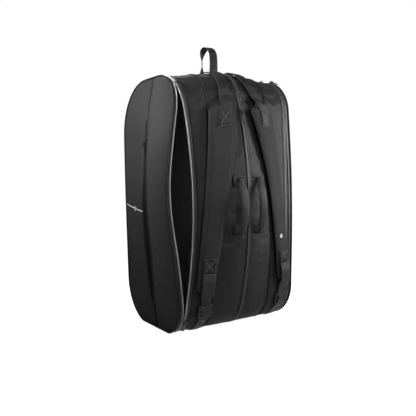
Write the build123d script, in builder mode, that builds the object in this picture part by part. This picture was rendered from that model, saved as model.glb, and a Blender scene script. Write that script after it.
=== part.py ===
from build123d import *
import math
import os

os.makedirs("parts", exist_ok=True)

# Racket tournament bag, standing on its bottom end. X runs across the three compartments, Y from
# the strap face (-Y) to the back (+Y), Z up. The origin is on the floor, under the middle of the bag.

# Driving dimensions, in millimetres.
height = 750.0  # side compartments, floor to top
half_width = 199.0  # centre plane to an outer wall
seam_x = 103.0  # seam between the centre and a side compartment
parting_x = 186.0  # closed line of a side compartment's zip
face_shift = 4.0  # the middle of the soft strap face sits this far to the right
top_front_radius = 100.0
top_back_radius = 164.0
bottom_front_radius = 110.0
bottom_back_radius = 128.0
hinge_y = 175.0  # a lid swings about a vertical line in its back edge
cloth = 3.0  # padded wall cloth
web = 2.5  # webbing
pad_thickness = 15.0
parting_gap = 0.6
stations = (-half_width, -seam_x, 0.0, seam_x, half_width)
middle_z = height / 2

# How far a lid's front edge stands out of the flat wall, by height: the left one is ajar.
bow_profile = ((-10, 0), (120, 10), (240, 24), (410, 43), (540, 31), (650, 13), (765, 0))
left_bow = 1.0
right_bow = 0.1

# Strap pads, on the strap face.
pad_top = 655.0
pad_bottom = 131.0
pad_gap = 2.0
strap_top_x = {-1: -65.0, 1: 76.0}  # pad middle at the height of strap_top_z
strap_bottom_x = {-1: -131.0, 1: 155.0}  # and at strap_bottom_z
strap_top_z = 640.0
strap_bottom_z = 150.0
web_top_x = {-1: -36.0, 1: 38.0}  # the upper webbing, where it is sewn to the top of the bag
web_low_x = {-1: -52.0, 1: 76.0}  # and where it reaches the pad
buckle_x = {-1: -127.0, 1: 155.0}
web_half = 19.0  # half the upper webbing's width
tail_half = 15.0  # half the lower webbing's width
buckle_z = 76.0
buckle_width = 47.0
buckle_length = 40.0
handle_x = 33.0
handle_low = 293.0
handle_high = 445.0
handle_reach = 24.0  # how far a carry handle bows out of the strap face
loop_legs = (-52.0, 14.0)  # y of the grab loop's two legs
loop_top = 859.0
base_face = (120.0, 60.0)  # the flat face under the middle that the bag rests on


def swell(x):
    """1 in the middle of the bag, 0 at the compartment seams and about -1 at the outer walls."""
    return math.cos(math.pi * x / (2 * seam_x))


def front_middle(x):
    return -204.0 - 24.0 * swell(x)


def front_sagitta(x):
    return 43.0 + 32.0 * swell(x)


def back_middle(x):
    return 178.5 + 3.5 * swell(x)


def back_sagitta(x):
    return 8.0 + 6.0 * swell(x)


def top_height(x):
    return 759.0 + 9.0 * swell(x)


def front_y(x, z):
    """The strap face between its corner arcs."""
    return front_middle(x) + front_sagitta(x) * ((z - middle_z) / middle_z) ** 2


def outline(x, grow):
    """Side outline of the bag at x, grown outwards, drawn with Y across and Z up."""
    top = top_height(x) + grow
    bottom = -grow
    front = front_middle(x) - grow
    back = back_middle(x) + grow
    front_end = front + front_sagitta(x)
    back_end = back - back_sagitta(x)
    with BuildSketch() as drawing:
        with BuildLine():
            Line((front_end, bottom), (back_end, bottom))
            ThreePointArc((back_end, bottom), (back, middle_z), (back_end, top))
            Line((back_end, top), (front_end, top))
            ThreePointArc((front_end, top), (front, middle_z), (front_end, bottom))
        make_face()
        corners = (
            ((front_end, bottom), bottom_front_radius),
            ((back_end, bottom), bottom_back_radius),
            ((back_end, top), top_back_radius),
            ((front_end, top), top_front_radius),
        )
        for corner, radius in corners:
            fillet(drawing.vertices().sort_by_distance((*corner, 0))[0], radius=radius + grow)
    return drawing.sketch


hulls = {}


def hull(grow):
    """The whole bag as one closed solid, grown outwards. Every soft wall is cut from such hulls."""
    if grow not in hulls:
        with BuildPart() as solid:
            for x in stations:
                with BuildSketch(Plane.YZ.offset(x)):
                    add(outline(x, grow))
            loft()
        hulls[grow] = solid.part
    return hulls[grow]


def prism(grow, x_low, x_high):
    """An outer wall's outline run straight along X."""
    with BuildPart() as solid:
        with BuildSketch(Plane.YZ.offset(x_low)):
            add(outline(half_width, grow))
        extrude(amount=x_high - x_low)
    return solid.part


def slice_x(x_low, x_high):
    """Keep what lies between two planes across X. Called inside a BuildPart."""
    with BuildSketch(Plane.YZ.offset(x_low)) as area:
        Rectangle(1200, 2000)
    extrude(area.sketch, amount=x_high - x_low, mode=Mode.INTERSECT)


def front_region(points, y_near=-400.0, y_far=-60.0):
    """Keep what lies behind an outline drawn in X and Z. Called inside a BuildPart."""
    with BuildSketch(Plane.XZ.offset(-y_near)) as area:
        with BuildLine():
            Polyline(*points, close=True)
        make_face()
    extrude(area.sketch, amount=y_near - y_far, mode=Mode.INTERSECT)


def rectangle_points(x_low, x_high, z_low, z_high):
    return ((x_low, z_low), (x_high, z_low), (x_high, z_high), (x_low, z_high))


def write(part, name):
    part.label = name
    export_step(part, f"parts/{name}.step")
    print(name, round(part.volume / 1000, 1), "cm3", len(part.solids()), "solids")


def side_name(side):
    return "left" if side < 0 else "right"


# ---- centre compartment ----------------------------------------------------------------------

front_split_y = -95.0  # the front panels turn over the top and bottom edges to here
zip_half = 7.0

for side in (-1, 1):
    zip_edge = face_shift + side * zip_half
    low, high = sorted((zip_edge, side * seam_x))
    with BuildPart() as front_panel:
        add(hull(0.0))
        add(hull(-cloth), mode=Mode.SUBTRACT)
        front_region(rectangle_points(low, high, -10, 900), y_far=front_split_y)
    write(front_panel.part, f"center_front_{side_name(side)}_panel")

with BuildPart() as center_gusset:
    add(hull(0.0))
    add(hull(-cloth), mode=Mode.SUBTRACT)
    slice_x(-seam_x, seam_x)
    with BuildSketch(Plane.XZ.offset(-front_split_y)):
        Rectangle(600, 2000)
    extrude(amount=-500, mode=Mode.INTERSECT)
    for mode in (Mode.SUBTRACT, Mode.ADD):
        with Locations((0, 0, 0)):
            Box(*base_face, 1.0, align=(Align.CENTER, Align.CENTER, Align.MIN), mode=mode)
write(center_gusset.part, "center_gusset")

with BuildPart() as center_zip:
    add(hull(-0.4))
    add(hull(-2.4), mode=Mode.SUBTRACT)
    front_region(
        rectangle_points(face_shift - zip_half, face_shift + zip_half, -10, 900),
        y_far=front_split_y,
    )
write(center_zip.part, "center_zip_tape")

for side in (-1, 1):
    low, high = sorted((side * (seam_x - 2), side * (seam_x + 2)))
    with BuildPart() as divider:
        add(hull(-cloth - 0.3))
        slice_x(low, high)
    write(divider.part, f"{side_name(side)}_divider")

with BuildPart() as seam_piping:
    for side in (-1, 1):
        with BuildPart(mode=Mode.PRIVATE) as ring:
            add(hull(1.6))
            add(hull(0.0), mode=Mode.SUBTRACT)
            slice_x(side * seam_x - 2.5, side * seam_x + 2.5)
        with BuildPart(mode=Mode.PRIVATE) as floor_cut:
            with BuildSketch():
                Rectangle(1000, 1000)
            extrude(amount=900)
        add(ring.part & floor_cut.part)
write(seam_piping.part, "seam_piping")

# ---- side compartments -----------------------------------------------------------------------

lip_low = 95.0
lip_high = 700.0
lip_draw = 23.0  # how far the open zip's inner lip draws back at its middle
tape_width = 11.0


def lip_area(side, edge_x, draw, far_x):
    """Face in X and Z from a zip lip out to far_x. The open lip is an arc, the closed one a line."""
    with BuildSketch(Plane.XZ.offset(400)) as area:
        with BuildLine():
            Line((side * edge_x, -20), (side * edge_x, lip_low))
            if draw:
                peak = (side * (edge_x - draw), (lip_low + lip_high) / 2)
                ThreePointArc((side * edge_x, lip_low), peak, (side * edge_x, lip_high))
            else:
                Line((side * edge_x, lip_low), (side * edge_x, lip_high))
            Line((side * edge_x, lip_high), (side * edge_x, 900))
            Line((side * edge_x, 900), (side * far_x, 900))
            Line((side * far_x, 900), (side * far_x, -20))
            Line((side * far_x, -20), (side * edge_x, -20))
        make_face()
    return area.sketch


for side, draw in ((-1, lip_draw), (1, 0.0)):
    name = side_name(side)
    inner, outer = seam_x, parting_x - parting_gap
    low, high = sorted((side * inner, side * outer))
    with BuildPart() as gusset:
        add(hull(0.0))
        add(hull(-cloth), mode=Mode.SUBTRACT)
        slice_x(low, high)
        if draw:
            extrude(lip_area(side, outer, draw, 260), amount=360, dir=(0, 1, 0), mode=Mode.SUBTRACT)
    write(gusset.part, f"{name}_gusset")

    with BuildPart() as tape:
        add(hull(1.6))
        add(hull(0.0), mode=Mode.SUBTRACT)
        slice_x(low, high)
        edge = lip_area(side, outer - tape_width, draw, 260)
        extrude(edge, amount=700, dir=(0, 1, 0), mode=Mode.INTERSECT)
        if draw:
            extrude(lip_area(side, outer, draw, 260), amount=360, dir=(0, 1, 0), mode=Mode.SUBTRACT)
        with BuildSketch():
            Rectangle(1000, 1000)
        extrude(amount=900, mode=Mode.INTERSECT)
    write(tape.part, f"{name}_zip_inner_tape")

    lining_out = outer - 24.0
    low, high = sorted((side * (seam_x + 2.4), side * lining_out))
    with BuildPart() as lining:
        add(hull(-cloth - 0.3))
        add(hull(-cloth - 1.5), mode=Mode.SUBTRACT)
        slice_x(low, high)
    write(lining.part, f"{name}_lining")


# ---- lids: the outer walls, which swing open about the back edge -----------------------------


def lid_slab(side, bow, depth_out, depth_in):
    """The layer of a lid between two depths under its outer face, following the bow."""
    reach = 190.0
    gain = (reach + hinge_y) / (2 * hinge_y)
    with BuildPart() as slab:
        for y, share in ((-reach, bow * gain), (reach, 0.0)):
            edges = []
            for depth in (depth_out, depth_in):
                edges.append([(side * (half_width + b * share - depth), z) for z, b in bow_profile])
            with BuildSketch(Plane.XZ.offset(-y)):
                with BuildLine():
                    Spline(*edges[0])
                    Line(edges[0][-1], edges[1][-1])
                    Spline(*reversed(edges[1]))
                    Line(edges[1][0], edges[0][0])
                make_face()
        loft(ruled=True)
    return slab.part


def mouth_area(inset):
    """The pocket mouth in a wall, a lens drawn in Y and Z, leaning forward at its ends."""
    with BuildSketch() as area:
        with BuildLine():
            ThreePointArc((-14, 60), (-19 + inset, 345), (-14, 660))
            ThreePointArc((-14, 660), (14 - inset, 345), (-14, 60))
        make_face()
    return area.sketch


def before_mouth():
    """What lies in front of the middle line of the pocket mouth, drawn in Y and Z."""
    with BuildSketch() as area:
        with BuildLine():
            Line((-400, -50), (-34, -50))
            Spline((-34, -50), (-24, 20), (-3, 200), (-3, 500), (-16, 640), (-52, 770))
            Line((-52, 770), (-400, 770))
            Line((-400, 770), (-400, -50))
        make_face()
    return area.sketch


for side, bow in ((-1, left_bow), (1, right_bow)):
    name = side_name(side)
    reach_low, reach_high = sorted((side * 170.0, side * 262.0))

    with BuildPart() as board:
        add(lid_slab(side, bow, cloth + 0.2, cloth + 2.2))
        add(prism(-cloth - 0.2, reach_low, reach_high), mode=Mode.INTERSECT)
    write(board.part, f"{name}_wall_board")

    with BuildPart() as wall:
        add(lid_slab(side, bow, 0.0, cloth))
        add(prism(0.0, reach_low, reach_high), mode=Mode.INTERSECT)
    with BuildPart() as front_panel:
        add(wall.part)
        with BuildSketch(Plane.YZ.offset(reach_low)):
            add(before_mouth())
            add(mouth_area(0.0), mode=Mode.SUBTRACT)
        extrude(amount=reach_high - reach_low, mode=Mode.INTERSECT)
    write(front_panel.part, f"{name}_wall_front_panel")
    with BuildPart() as rear_panel:
        add(wall.part)
        with BuildSketch(Plane.YZ.offset(reach_low)):
            add(before_mouth())
            add(mouth_area(0.0))
        extrude(amount=reach_high - reach_low, mode=Mode.SUBTRACT)
    write(rear_panel.part, f"{name}_wall_rear_panel")

    with BuildPart() as pocket_zip:
        add(lid_slab(side, bow, 1.6, cloth))
        with BuildSketch(Plane.YZ.offset(reach_low)):
            add(mouth_area(1.0))
        extrude(amount=reach_high - reach_low, mode=Mode.INTERSECT)
    write(pocket_zip.part, f"{name}_pocket_zip")

    with BuildPart() as lid_gusset:
        add(lid_slab(side, bow, cloth, half_width - parting_x))
        add(prism(0.0, reach_low, reach_high), mode=Mode.INTERSECT)
        add(prism(-cloth, reach_low, reach_high), mode=Mode.SUBTRACT)
    write(lid_gusset.part, f"{name}_lid_gusset")

    for piece, grow, depth_out, depth_in in (
        ("wall_piping", 2.4, -0.6, 4.0),
        ("zip_outer_tape", 1.6, 5.0, half_width - parting_x),
    ):
        with BuildPart() as ring:
            add(lid_slab(side, bow, depth_out, depth_in))
            add(prism(grow, reach_low, reach_high), mode=Mode.INTERSECT)
            add(prism(0.0, reach_low, reach_high), mode=Mode.SUBTRACT)
            with BuildSketch():
                Rectangle(1000, 1000)
            extrude(amount=900, mode=Mode.INTERSECT)
        write(ring.part, f"{name}_{piece}")


# ---- planes on the bag's skin ----------------------------------------------------------------


def skin_plane(x, y, z):
    """Plane on the outline at x nearest to (y, z): local X runs down the front, local Z points out."""
    wire = outline(x, 0.0).face().outer_wire()
    samples = 600
    share = min(
        (i / samples for i in range(samples)),
        key=lambda t: (wire.position_at(t) - Vector(y, z)).length,
    )
    point = wire.position_at(share)
    along = wire.tangent_at(share)
    outward = Vector(along.Y, -along.X)
    if outward.dot(point - Vector(0, middle_z)) < 0:
        outward = outward * -1
    down = Vector(-outward.Y, outward.X)
    return Plane(
        origin=(x, point.X, point.Y), x_dir=(0, down.X, down.Y), z_dir=(0, outward.X, outward.Y)
    )


def report_plane(name, plane):
    at = [round(v, 2) for v in plane.origin]
    out = [round(v, 4) for v in plane.z_dir]
    down = [round(v, 4) for v in plane.x_dir]
    print("place", name, "origin", at, "out", out, "down", down)


# ---- zip sliders and their pulls -------------------------------------------------------------

slider_gap = 2.4
slider_height = 4.0
pin_height = 8.1
pull_length = 30.0


def make_slider(plane, name):
    with BuildPart() as slider:
        with BuildSketch(plane.offset(slider_gap)):
            RectangleRounded(15, 9.5, 2.4)
        extrude(amount=slider_height)
        with BuildSketch(plane.offset(slider_gap + slider_height)):
            with Locations((-4.2, 0), (4.2, 0)):
                Rectangle(1.6, 3)
        extrude(amount=4.6)
        with BuildSketch(plane.offset(slider_gap + slider_height + 3.4)):
            Rectangle(10, 3)
        extrude(amount=1.4)
    write(slider.part, f"{name}_slider")


def make_pull(plane, name, way=1):
    """The pull hangs from a pin under the slider's bridge, along the plane's local X times way."""
    with BuildPart() as pull:
        with BuildSketch(plane.offset(pin_height - 0.9)):
            with Locations((way * (8 + pull_length) / 2, 0)):
                Rectangle(pull_length - 8, 8)
            with Locations((way * 3.6, 3.1), (way * 3.6, -3.1)):
                Rectangle(9.0, 1.8)
            Rectangle(1.8, 8)
        extrude(amount=1.8)
        with BuildSketch(plane.offset(pin_height - 0.9)):
            with Locations((way * (pull_length - 5), 0)):
                Circle(1.6)
        extrude(amount=1.8, mode=Mode.SUBTRACT)
    write(pull.part, f"{name}_pull")
    report_plane(name, plane)


center_slider_plane = skin_plane(face_shift, front_y(face_shift, 640), 640)
make_slider(center_slider_plane, "center_zip")
make_pull(center_slider_plane, "center_zip")

left_zip_x = -(parting_x - 4)
right_zip_x = parting_x
slider_places = (
    ("left_upper", left_zip_x, -147, 719, 1),
    ("left_lower", left_zip_x, -158, 46, 1),
    ("right_upper", right_zip_x, -62, 750, -1),
    ("right_lower", right_zip_x, -110, 743, 1),
)
for name, x, y, z, way in slider_places:
    plane = skin_plane(x, y, z)
    make_slider(plane, name)
    make_pull(plane, name, way)

pocket_pull_z = 560.0
pocket_pull_y = -8.0
for side, bow in ((-1, left_bow), (1, right_bow)):
    wall_x = side * (half_width + 0.5 * bow * 29.6)
    plane = Plane(
        origin=(wall_x, pocket_pull_y, pocket_pull_z), x_dir=(0, 0, -1), z_dir=(side, 0, 0)
    )
    make_slider(plane, f"{side_name(side)}_pocket")
    make_pull(plane, f"{side_name(side)}_pocket")

# ---- shoulder straps -------------------------------------------------------------------------

pad_in = pad_gap
pad_out = pad_gap + pad_thickness
face_in = pad_out + 0.1
face_out = face_in + web


def strap_middle(side, z):
    share = (strap_top_z - z) / (strap_top_z - strap_bottom_z)
    return strap_top_x[side] + share * (strap_bottom_x[side] - strap_top_x[side])


def pad_half(z):
    return 28.0 + 14.0 * max(0.0, (z - strap_bottom_z) / (strap_top_z - strap_bottom_z)) ** 1.6


def pad_area(side, inset):
    """A pad's face in X and Z: two long curved edges and rounded ends."""
    heights = (pad_bottom + inset, 250.0, 400.0, 530.0, pad_top - inset)
    right = [(strap_middle(side, z) + pad_half(z) - inset, z) for z in heights]
    left = [(strap_middle(side, z) - pad_half(z) + inset, z) for z in reversed(heights)]
    with BuildSketch(Plane.XZ.offset(400)) as area:
        with BuildLine():
            Spline(*right)
            Line(right[-1], left[0])
            Spline(*left)
            Line(left[-1], right[0])
        make_face()
        fillet(area.vertices(), radius=20 - inset)
    return area.sketch


def strip_area(points_and_halves):
    """A strip's face in X and Z, from its middle points and half widths."""
    right = [(x + half, z) for x, z, half in points_and_halves]
    left = [(x - half, z) for x, z, half in reversed(points_and_halves)]
    with BuildSketch(Plane.XZ.offset(400)) as area:
        with BuildLine():
            Polyline(*right, *left, close=True)
        make_face()
    return area.sketch


def layer(grow_in, grow_out, area, depth):
    """The layer between two grown hulls behind an area, from y = -400 back through depth."""
    with BuildPart() as piece:
        add(hull(grow_out))
        add(hull(grow_in), mode=Mode.SUBTRACT)
        extrude(area, amount=depth, dir=(0, 1, 0), mode=Mode.INTERSECT)
    return piece.part


rim = 3.0
for side in (-1, 1):
    name = side_name(side)
    write(layer(pad_in, pad_out, pad_area(side, rim), 300), f"{name}_strap_pad")

    with BuildPart() as binding:
        add(layer(pad_in + 2, pad_out - 2, pad_area(side, 0.0), 300))
        extrude(pad_area(side, rim), amount=300, dir=(0, 1, 0), mode=Mode.SUBTRACT)
    write(binding.part, f"{name}_strap_binding")

    low_x = web_low_x[side]
    patch_x = strap_middle(side, 620)
    with BuildPart() as webbing:
        top_strip = (
            (low_x, 659, web_half),
            (web_top_x[side], 760, web_half),
            (web_top_x[side], 800, web_half),
        )
        add(layer(1.0, 1.0 + web, strip_area(top_strip), 315))
        join = ((low_x, 656, web_half), (low_x, 661, web_half))
        add(layer(1.0, face_out, strip_area(join), 300))
        on_pad = ((patch_x, 598, web_half), (low_x, 661, web_half))
        add(layer(face_in, face_out, strip_area(on_pad), 300))
    write(webbing.part, f"{name}_upper_webbing")

    tail_x = buckle_x[side]
    with BuildPart() as tail:
        on_pad = (
            (tail_x, 125, tail_half),
            (tail_x, 128, web_half),
            (strap_middle(side, 225), 225, web_half),
        )
        add(layer(face_in, face_out, strip_area(on_pad), 300))
        step = ((tail_x, 125, tail_half), (tail_x, 129, tail_half))
        add(layer(5.0, face_out, strip_area(step), 300))
        end = ((tail_x, 100, tail_half), (tail_x, 129, tail_half))
        add(layer(5.0, 5.0 + web, strip_area(end), 300))
    write(tail.part, f"{name}_strap_tail")

    plane = skin_plane(tail_x, front_y(tail_x, 110), buckle_z)
    with BuildPart() as lock:
        with BuildSketch(plane.offset(5.0)):
            RectangleRounded(buckle_length, buckle_width, 5)
            with Locations((-12, 0), (-2, 0), (10, 0)):
                RectangleRounded(3.6, buckle_width - 12, 1.2, mode=Mode.SUBTRACT)
        extrude(amount=5)
    write(lock.part, f"{name}_ladder_lock")
    report_plane(f"{name}_ladder_lock", plane)

    foot_strip = ((tail_x, 8, tail_half), (tail_x, 50, tail_half))
    write(layer(2.2, 2.2 + web, strip_area(foot_strip), 320), f"{name}_adjuster_webbing")

with BuildPart() as anchors:
    for side in (-1, 1):
        tab = ((buckle_x[side], 6, 19), (buckle_x[side], 34, 17))
        add(layer(0.2, 1.8, strip_area(tab), 320))
write(anchors.part, "strap_anchor_tabs")

# ---- carry handles and the top grab loop -----------------------------------------------------

with BuildPart() as patches:
    for side in (-1, 1):
        middle = face_shift + side * (handle_x - 1)
        edge = ((middle, handle_low - 6, 25), (middle, handle_high + 12, 25))
        add(layer(0.2, 1.4, strip_area(edge), 300))
write(patches.part, "handle_patches")

handle_half = 13.0
handle_thick = 6.0
neck_half = 5.0
neck_length = 14.0
handle_middle_z = (handle_low + handle_high) / 2
for side in (-1, 1):
    middle = face_shift + side * handle_x
    root_y = front_y(middle, handle_middle_z) - 5.5
    tip_y = root_y - handle_reach
    with BuildPart() as handle:
        with BuildSketch(Plane.YZ.offset(middle - handle_half)):
            with BuildLine():
                low = (root_y, handle_low)
                high = (root_y, handle_high)
                outer_low = (root_y, handle_low - handle_thick)
                outer_high = (root_y, handle_high + handle_thick)
                ThreePointArc(outer_low, (tip_y, handle_middle_z), outer_high)
                Line(outer_high, high)
                ThreePointArc(high, (tip_y + handle_thick, handle_middle_z), low)
                Line(low, outer_low)
            make_face()
        extrude(amount=2 * handle_half)
        ends = (handle_low - handle_thick, handle_high + handle_thick)
        taper = (
            (middle, ends[0], neck_half),
            (middle, ends[0] + neck_length, neck_half),
            (middle, ends[0] + 2 * neck_length, handle_half),
            (middle, ends[1] - 2 * neck_length, handle_half),
            (middle, ends[1] - neck_length, neck_half),
            (middle, ends[1], neck_half),
        )
        extrude(strip_area(taper), amount=300, dir=(0, 1, 0), mode=Mode.INTERSECT)
    write(handle.part, f"{side_name(side)}_carry_handle")
    print("place handle", side_name(side), round(middle, 2), round(root_y, 2))

loop_x = face_shift
loop_floor = top_height(loop_x)
loop_hinge_z = loop_floor + 8.0
loop_half = 15.0
loop_thick = 3.0
with BuildPart() as loop_base:
    for leg_y in loop_legs:
        with BuildPart(mode=Mode.PRIVATE) as stitch_tab:
            add(hull(1.4))
            add(hull(0.2), mode=Mode.SUBTRACT)
            with BuildSketch(Plane.XY.offset(loop_floor - 40)):
                with Locations((loop_x, leg_y)):
                    Rectangle(2 * loop_half + 4, 26)
            extrude(amount=80, mode=Mode.INTERSECT)
        add(stitch_tab.part)
write(loop_base.part, "top_loop_tabs")

loop_radius = (loop_legs[1] - loop_legs[0]) / 2
loop_spring = loop_top - loop_radius
loop_foot = loop_floor + 3.5
leg_middle = sum(loop_legs) / 2
with BuildPart() as loop:
    with BuildSketch(Plane.YZ.offset(loop_x - loop_half)):
        for radius, mode in (
            (loop_radius + loop_thick / 2, Mode.ADD),
            (loop_radius - loop_thick / 2, Mode.SUBTRACT),
        ):
            with BuildLine():
                Line((leg_middle - radius, loop_foot), (leg_middle - radius, loop_spring))
                ThreePointArc(
                    (leg_middle - radius, loop_spring),
                    (leg_middle, loop_spring + radius),
                    (leg_middle + radius, loop_spring),
                )
                Line((leg_middle + radius, loop_spring), (leg_middle + radius, loop_foot))
                Line((leg_middle + radius, loop_foot), (leg_middle - radius, loop_foot))
            make_face(mode=mode)
    extrude(amount=2 * loop_half)
    taper = (
        (loop_x, loop_foot, 4.0),
        (loop_x, loop_floor + 11, 4.0),
        (loop_x, loop_floor + 30, loop_half),
        (loop_x, loop_top + 10, loop_half),
    )
    extrude(strip_area(taper), amount=700, dir=(0, 1, 0), mode=Mode.INTERSECT)
write(loop.part, "top_loop")
print("place loop", round(loop_hinge_z, 2), round(loop_floor, 2))
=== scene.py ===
import math

import bmesh
import bpy
import numpy as np
from mathutils import Matrix, Vector, noise
from mathutils.bvhtree import BVHTree


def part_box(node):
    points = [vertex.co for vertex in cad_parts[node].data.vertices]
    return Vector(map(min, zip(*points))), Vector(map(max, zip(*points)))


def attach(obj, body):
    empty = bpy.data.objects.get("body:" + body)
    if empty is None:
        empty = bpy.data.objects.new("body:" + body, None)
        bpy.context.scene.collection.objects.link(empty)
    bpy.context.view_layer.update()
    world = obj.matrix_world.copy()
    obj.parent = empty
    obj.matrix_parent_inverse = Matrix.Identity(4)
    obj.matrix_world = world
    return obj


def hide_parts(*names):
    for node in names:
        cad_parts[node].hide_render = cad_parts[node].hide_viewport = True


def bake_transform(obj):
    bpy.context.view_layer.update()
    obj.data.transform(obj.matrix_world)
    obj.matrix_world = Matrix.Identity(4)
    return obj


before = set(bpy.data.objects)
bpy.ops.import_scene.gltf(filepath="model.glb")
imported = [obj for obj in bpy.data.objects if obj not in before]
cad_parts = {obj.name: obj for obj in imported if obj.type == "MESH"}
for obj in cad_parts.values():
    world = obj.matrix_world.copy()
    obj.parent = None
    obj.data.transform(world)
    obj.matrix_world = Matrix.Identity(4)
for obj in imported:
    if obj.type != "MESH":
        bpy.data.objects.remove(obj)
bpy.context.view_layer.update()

# The bag stands on its bottom end. X runs across the compartments, the strap face looks to -Y and Z is
# up. Lengths are in metres. The driving sizes come from the frame's boxes.


def low(node):
    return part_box(node)[0]


def high(node):
    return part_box(node)[1]


HALF = high("right_wall_front_panel").x - 0.0042  # an outer wall, without its slight bow
SEAM = (low("right_divider").x + high("right_divider").x) / 2
HEIGHT = high("right_wall_front_panel").z
PART_X = low("right_lid_gusset").x  # the closed line of a side compartment's zip
MID = HEIGHT / 2
SHIFT = (low("center_zip_tape").x + high("center_zip_tape").x) / 2
CLOTH = 0.003
FLOOR_GAP = 0.0001  # no visible piece dips below this height
TAU = 2 * math.pi
RADII = {"top_front": 0.100, "bottom_front": 0.110, "bottom_back": 0.128, "top_back": 0.164}


# ---- the skin: the same soft hull that the CAD walls are cut from ------------------------------


def swell(x):
    """How full the hull is at x: 1 in the middle of the bag."""
    return math.cos(math.pi * x / (2 * SEAM))


def outline_facts(x, grow):
    """The hull's side outline at x: its two long arcs, its flat ends and its four corner arcs."""
    top = 0.759 + 0.009 * swell(x) + grow
    bottom = -grow
    front = -0.204 - 0.024 * swell(x) - grow
    back = 0.1785 + 0.0035 * swell(x) + grow
    sag_front = 0.043 + 0.032 * swell(x)
    sag_back = 0.008 + 0.006 * swell(x)
    facts = {"top": top, "bottom": bottom}
    for side, middle, sag, sign in (("front", front, sag_front, -1), ("back", back, sag_back, 1)):
        end = middle - sign * sag
        # circle through (end, bottom), (middle, MID) and (end, top)
        cz = (top + bottom) / 2
        half = (top - bottom) / 2
        offset = MID - cz
        cy = ((end**2 + half**2) - (middle**2 + offset**2)) / (2 * (end - middle))
        big = math.hypot(middle - cy, offset)
        facts[side] = (cy, cz, big)
        for level, height, into in (("top", top, -1), ("bottom", bottom, 1)):
            r = RADII[f"{level}_{side}"] + grow
            z = height + into * r
            y = cy + sign * math.sqrt((big - r) ** 2 - (z - cz) ** 2)
            facts[f"{level}_{side}"] = (y, z, r)
    return facts


def arc_points(centre, radius, start, stop, count):
    """Points of (y, z) on an arc, without its last one."""
    angles = np.linspace(start, stop, count, endpoint=False)
    return np.stack([centre[0] + radius * np.cos(angles), centre[1] + radius * np.sin(angles)], 1)


SEGMENTS = ("top", "top_front", "front", "bottom_front", "bottom", "bottom_back", "back", "top_back")
COUNTS = (18, 30, 90, 32, 20, 38, 80, 44)
LOOP = sum(COUNTS)
START = {name: sum(COUNTS[:i]) for i, name in enumerate(SEGMENTS)}
loops = {}


def outline(x, grow=0.0):
    """The outline at x as LOOP points of (y, z): over the top towards the front, down the front,
    back along the bottom and up the back."""
    key = (round(x, 6), round(grow, 6))
    if key in loops:
        return loops[key]
    f = outline_facts(x, grow)
    tf, bf, bb, tb = (f[n] for n in ("top_front", "bottom_front", "bottom_back", "top_back"))

    def line(a, b, count):
        t = np.linspace(0, 1, count, endpoint=False)[:, None]
        return np.array(a)[None] * (1 - t) + np.array(b)[None] * t

    def lean(corner, side):
        """Angle, at a corner's centre, of the point where it meets the long arc."""
        angle = math.atan2(corner[1] - f[side][1], corner[0] - f[side][0])
        return angle if angle >= -math.pi / 2 else angle + TAU

    a1, a2, a3, a4 = lean(tf, "front"), lean(bf, "front"), lean(bb, "back"), lean(tb, "back")
    loops[key] = np.concatenate([
        line((tb[0], f["top"]), (tf[0], f["top"]), COUNTS[0]),
        arc_points(tf[:2], tf[2], math.pi / 2, a1, COUNTS[1]),
        arc_points(f["front"][:2], f["front"][2], a1, a2, COUNTS[2]),
        arc_points(bf[:2], bf[2], a2, 1.5 * math.pi, COUNTS[3]),
        line((bf[0], f["bottom"]), (bb[0], f["bottom"]), COUNTS[4]),
        arc_points(bb[:2], bb[2], -math.pi / 2, a3, COUNTS[5]),
        arc_points(f["back"][:2], f["back"][2], a3, a4, COUNTS[6]),
        arc_points(tb[:2], tb[2], a4, math.pi / 2, COUNTS[7]),
    ])
    return loops[key]


def loop_point(points, s):
    """Point of a closed outline at loop position s, which runs from 0 to LOOP and wraps."""
    i, t = math.floor(s) % LOOP, s - math.floor(s)
    return points[i] * (1 - t) + points[(i + 1) % LOOP] * t


def skin(x, s):
    """Point of the hull at x and loop position s."""
    y, z = loop_point(outline(x), s)
    return Vector((x, y, z))


def skin_normal(x, s):
    """Outward direction of the hull at x and loop position s."""
    n = (skin(x + 0.002, s) - skin(x - 0.002, s)).cross(skin(x, s + 0.5) - skin(x, s - 0.5)).normalized()
    return n if n.dot(skin(x, s) - Vector((0, 0, MID))) > 0 else -n


def loop_at(x, z):
    """Loop position of the strap face at height z."""
    first, last = START["top"] + 6, START["bottom"] + 10
    heights = outline(x)[first:last + 1, 1]
    for k, (a, b) in enumerate(zip(heights, heights[1:])):
        if min(a, b) <= z <= max(a, b) and a != b:
            return first + k + (z - a) / (b - a)
    return first if abs(heights[0] - z) < abs(heights[-1] - z) else last


def loop_at_y(y):
    """Loop position over the top at depth y, measured at the seam."""
    points = outline(SEAM)
    return float(min(range(-COUNTS[7], COUNTS[0] + COUNTS[1]), key=lambda i: abs(points[i % LOOP][0] - y)))


# ---- mesh helpers ------------------------------------------------------------------------------


def add_object(name, verts, faces, uv, material):
    """A mesh object, kept just above the floor, with its metric coordinates in the weave layer."""
    mesh = bpy.data.meshes.new(name)
    mesh.from_pydata([(v[0], v[1], max(v[2], FLOOR_GAP)) for v in verts], [], faces)
    layer = mesh.uv_layers.new(name="weave")
    loop_verts = np.empty(len(mesh.loops), np.int32)
    mesh.loops.foreach_get("vertex_index", loop_verts)
    layer.data.foreach_set("uv", np.asarray(uv, np.float32)[loop_verts].ravel())
    obj = bpy.data.objects.new(name, mesh)
    bpy.context.scene.collection.objects.link(obj)
    mesh.polygons.foreach_set("use_smooth", [True] * len(mesh.polygons))
    mesh.validate()
    mesh.materials.append(material)
    return obj


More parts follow.
